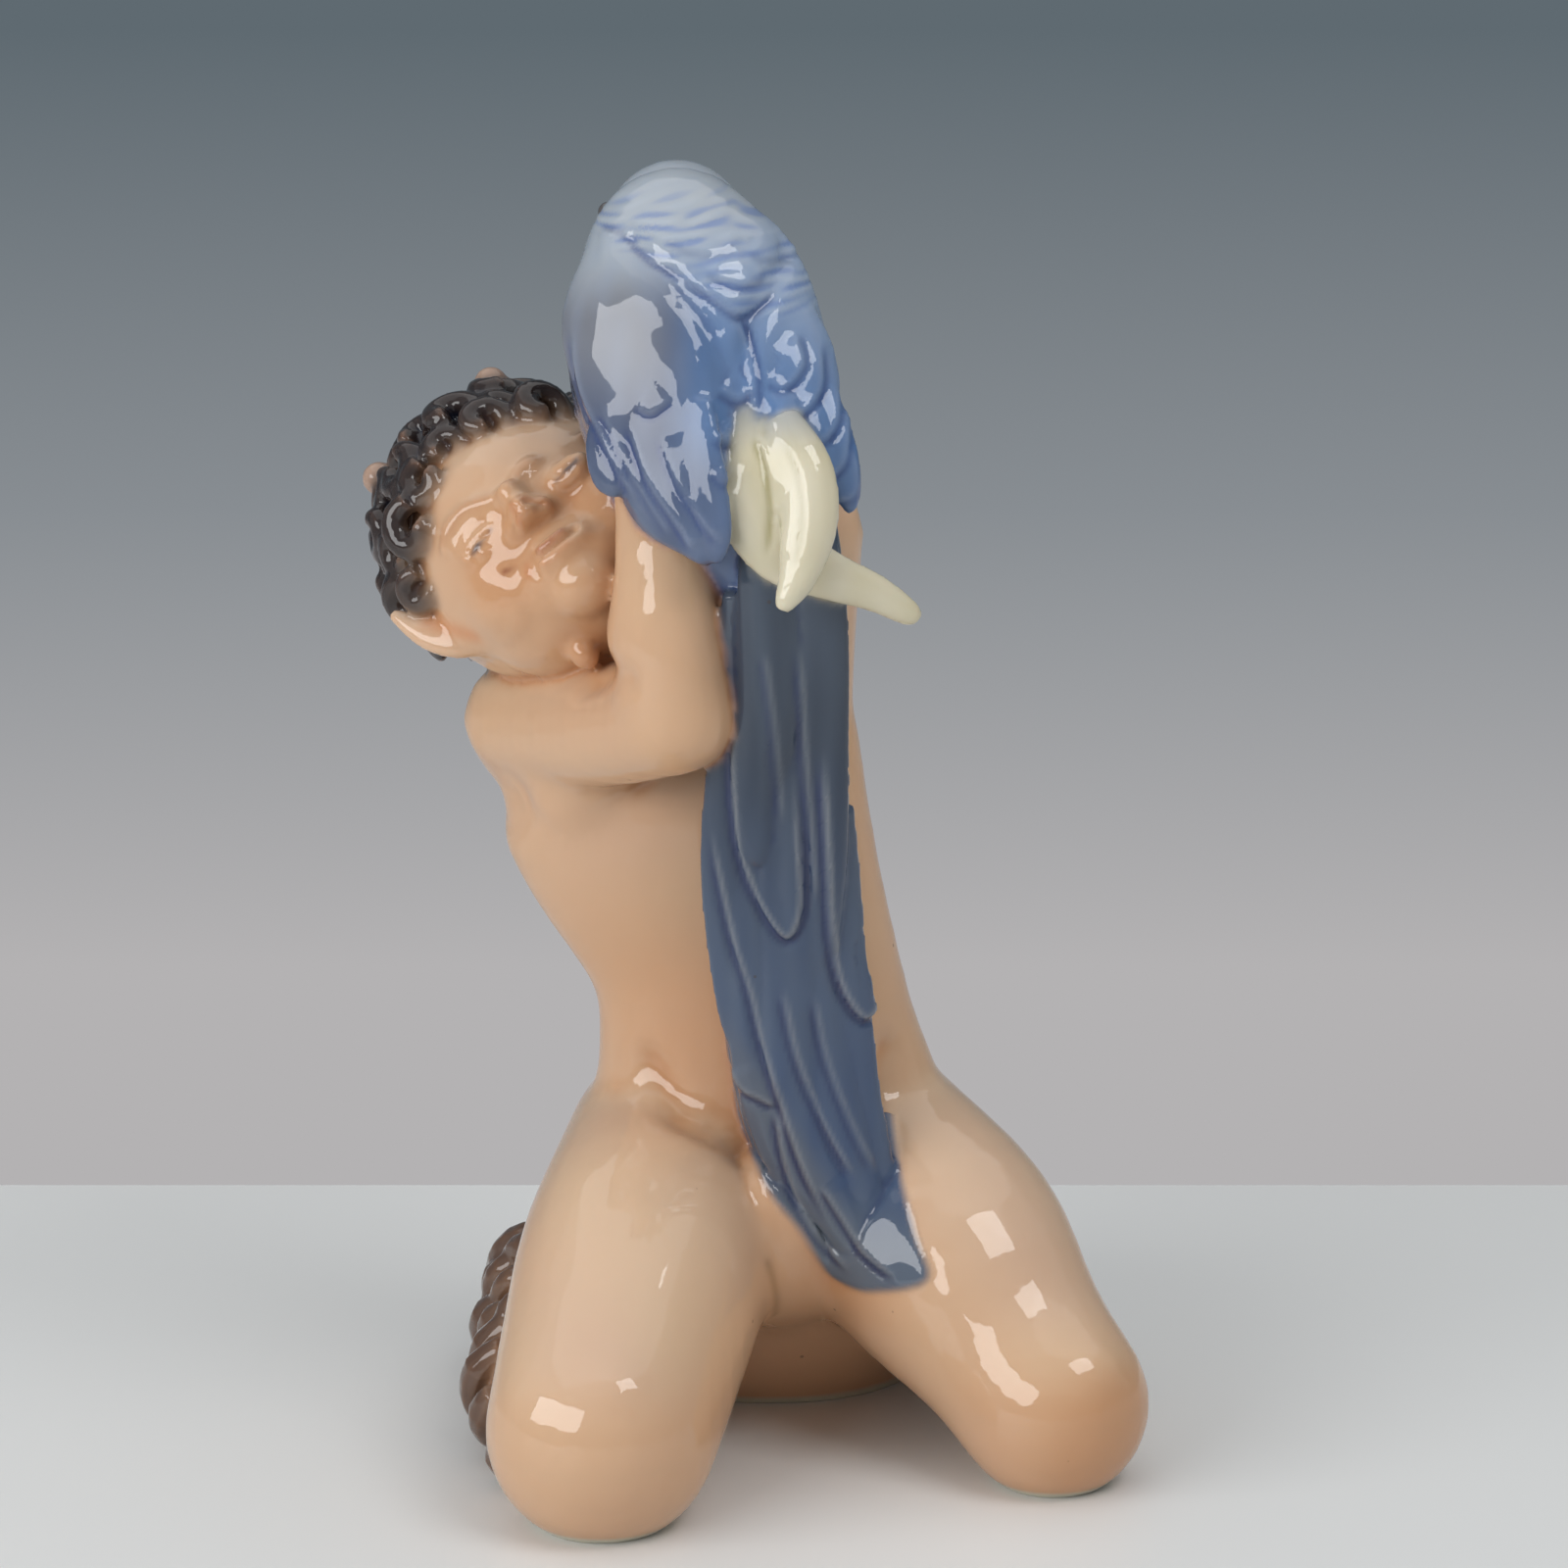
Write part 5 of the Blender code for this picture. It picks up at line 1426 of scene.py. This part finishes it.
def backdrop_material():
    """A grey backdrop that glows as painted light, with painted shade that darkens it upward."""
    material = bpy.data.materials.new("backdrop")
    material.use_nodes = True
    nodes = material.node_tree.nodes
    nodes.remove(nodes["Principled BSDF"])
    place = shader_node(material, "ShaderNodeTexCoord").outputs["Object"]
    split = shader_node(material, "ShaderNodeSeparateXYZ", [(place, "Vector")])
    low, high = BACKDROP_SHADING
    height = shader_node(
        material, "ShaderNodeMapRange", [(split.outputs["Z"], "Value")], From_Min=low, From_Max=high
    )
    ramp = shader_node(material, "ShaderNodeValToRGB", [(height.outputs["Result"], "Fac")])
    elements = ramp.color_ramp.elements
    elements.remove(elements[1])
    for number, (spot, colour) in enumerate(BACKDROP_GREYS):
        element = elements[0] if number == 0 else elements.new(spot)
        element.position = spot
        element.color = (*linear(*colour), 1)
    # The backdrop glows with painted light and painted shade instead of being lit by the lamps.
    lit = shader_node(material, "ShaderNodeEmission", [(ramp.outputs["Color"], "Color")])
    material.node_tree.links.new(lit.outputs["Emission"], nodes["Material Output"].inputs["Surface"])
    return material


def sheet(name, corners, material):
    """A flat four-sided surface of the set."""
    mesh = bpy.data.meshes.new(name)
    mesh.from_pydata(corners, [], [(0, 1, 2, 3)])
    mesh.materials.append(material)
    placed(name, mesh)


def set_up_stage():
    """The table with its far edge, and the backdrop behind it."""
    edge = TABLE_EDGE + CENTRING.y
    far = BACKDROP_DISTANCE
    table = plain("table", linear(229, 230, 229), 0.45)
    sheet("table", [(-2, -2, 0), (2, -2, 0), (2, edge, 0), (-2, edge, 0)], table)
    sheet("backdrop", [(-3, far, -1.2), (3, far, -1.2), (3, far, 1.5), (-3, far, 1.5)], backdrop_material())


def softbox(name, azimuth, elevation, distance, width, height, radiance):
    """A rectangular light round the figurine. Azimuth 0 is the camera's side and 90 the right."""
    light = bpy.data.lights.new(name, "AREA")
    light.shape = "RECTANGLE"
    light.size = width
    light.size_y = height
    light.energy = radiance * math.pi * width * height
    obj = placed(name, light)
    turn, rise = math.radians(azimuth), math.radians(elevation)
    out = Vector((math.sin(turn) * math.cos(rise), -math.cos(turn) * math.cos(rise), math.sin(rise)))
    obj.location = at(0, 0, 90) + out * distance
    obj.rotation_euler = (-out).to_track_quat("-Z", "Y").to_euler()


def set_up_lights():
    """Two window-shaped softboxes in front, a wide one above, and an even fill."""
    softbox("left_window", -48, 20, 0.9, 0.85, 0.36, 4.8)
    softbox("right_window", 45, 50, 0.9, 0.46, 0.3, 4.8)
    softbox("overhead", 180, 82, 1.1, 1.9, 1.5, 0.55)
    world = bpy.data.worlds.new("studio")
    bpy.context.scene.world = world
    world.use_nodes = True
    fill = world.node_tree.nodes["Background"].inputs
    fill["Color"].default_value = (*linear(205, 206, 208), 1)
    fill["Strength"].default_value = 0.55


def set_up_camera():
    """The photograph's view, from a little above, with a long lens."""
    camera = bpy.data.cameras.new("camera")
    camera.sensor_width = 36
    camera.lens = VIEW_LENS
    camera.clip_start = 0.05
    obj = placed("camera", camera)
    target = VIEW_TARGET + CENTRING
    tilt = math.radians(VIEW_TILT)
    obj.location = target + Vector((0, -math.cos(tilt), math.sin(tilt))) * VIEW_DISTANCE
    obj.rotation_euler = (math.pi / 2 - tilt, 0, 0)
    bpy.context.scene.camera = obj


def main():
    """Loads the part, shows the figurine in its place, and sets the stage, lights and camera."""
    for obj in list(bpy.data.objects):
        bpy.data.objects.remove(obj)
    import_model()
    figurine()
    set_up_stage()
    set_up_lights()
    set_up_camera()
    bpy.context.scene.view_settings.view_transform = "Standard"


main()
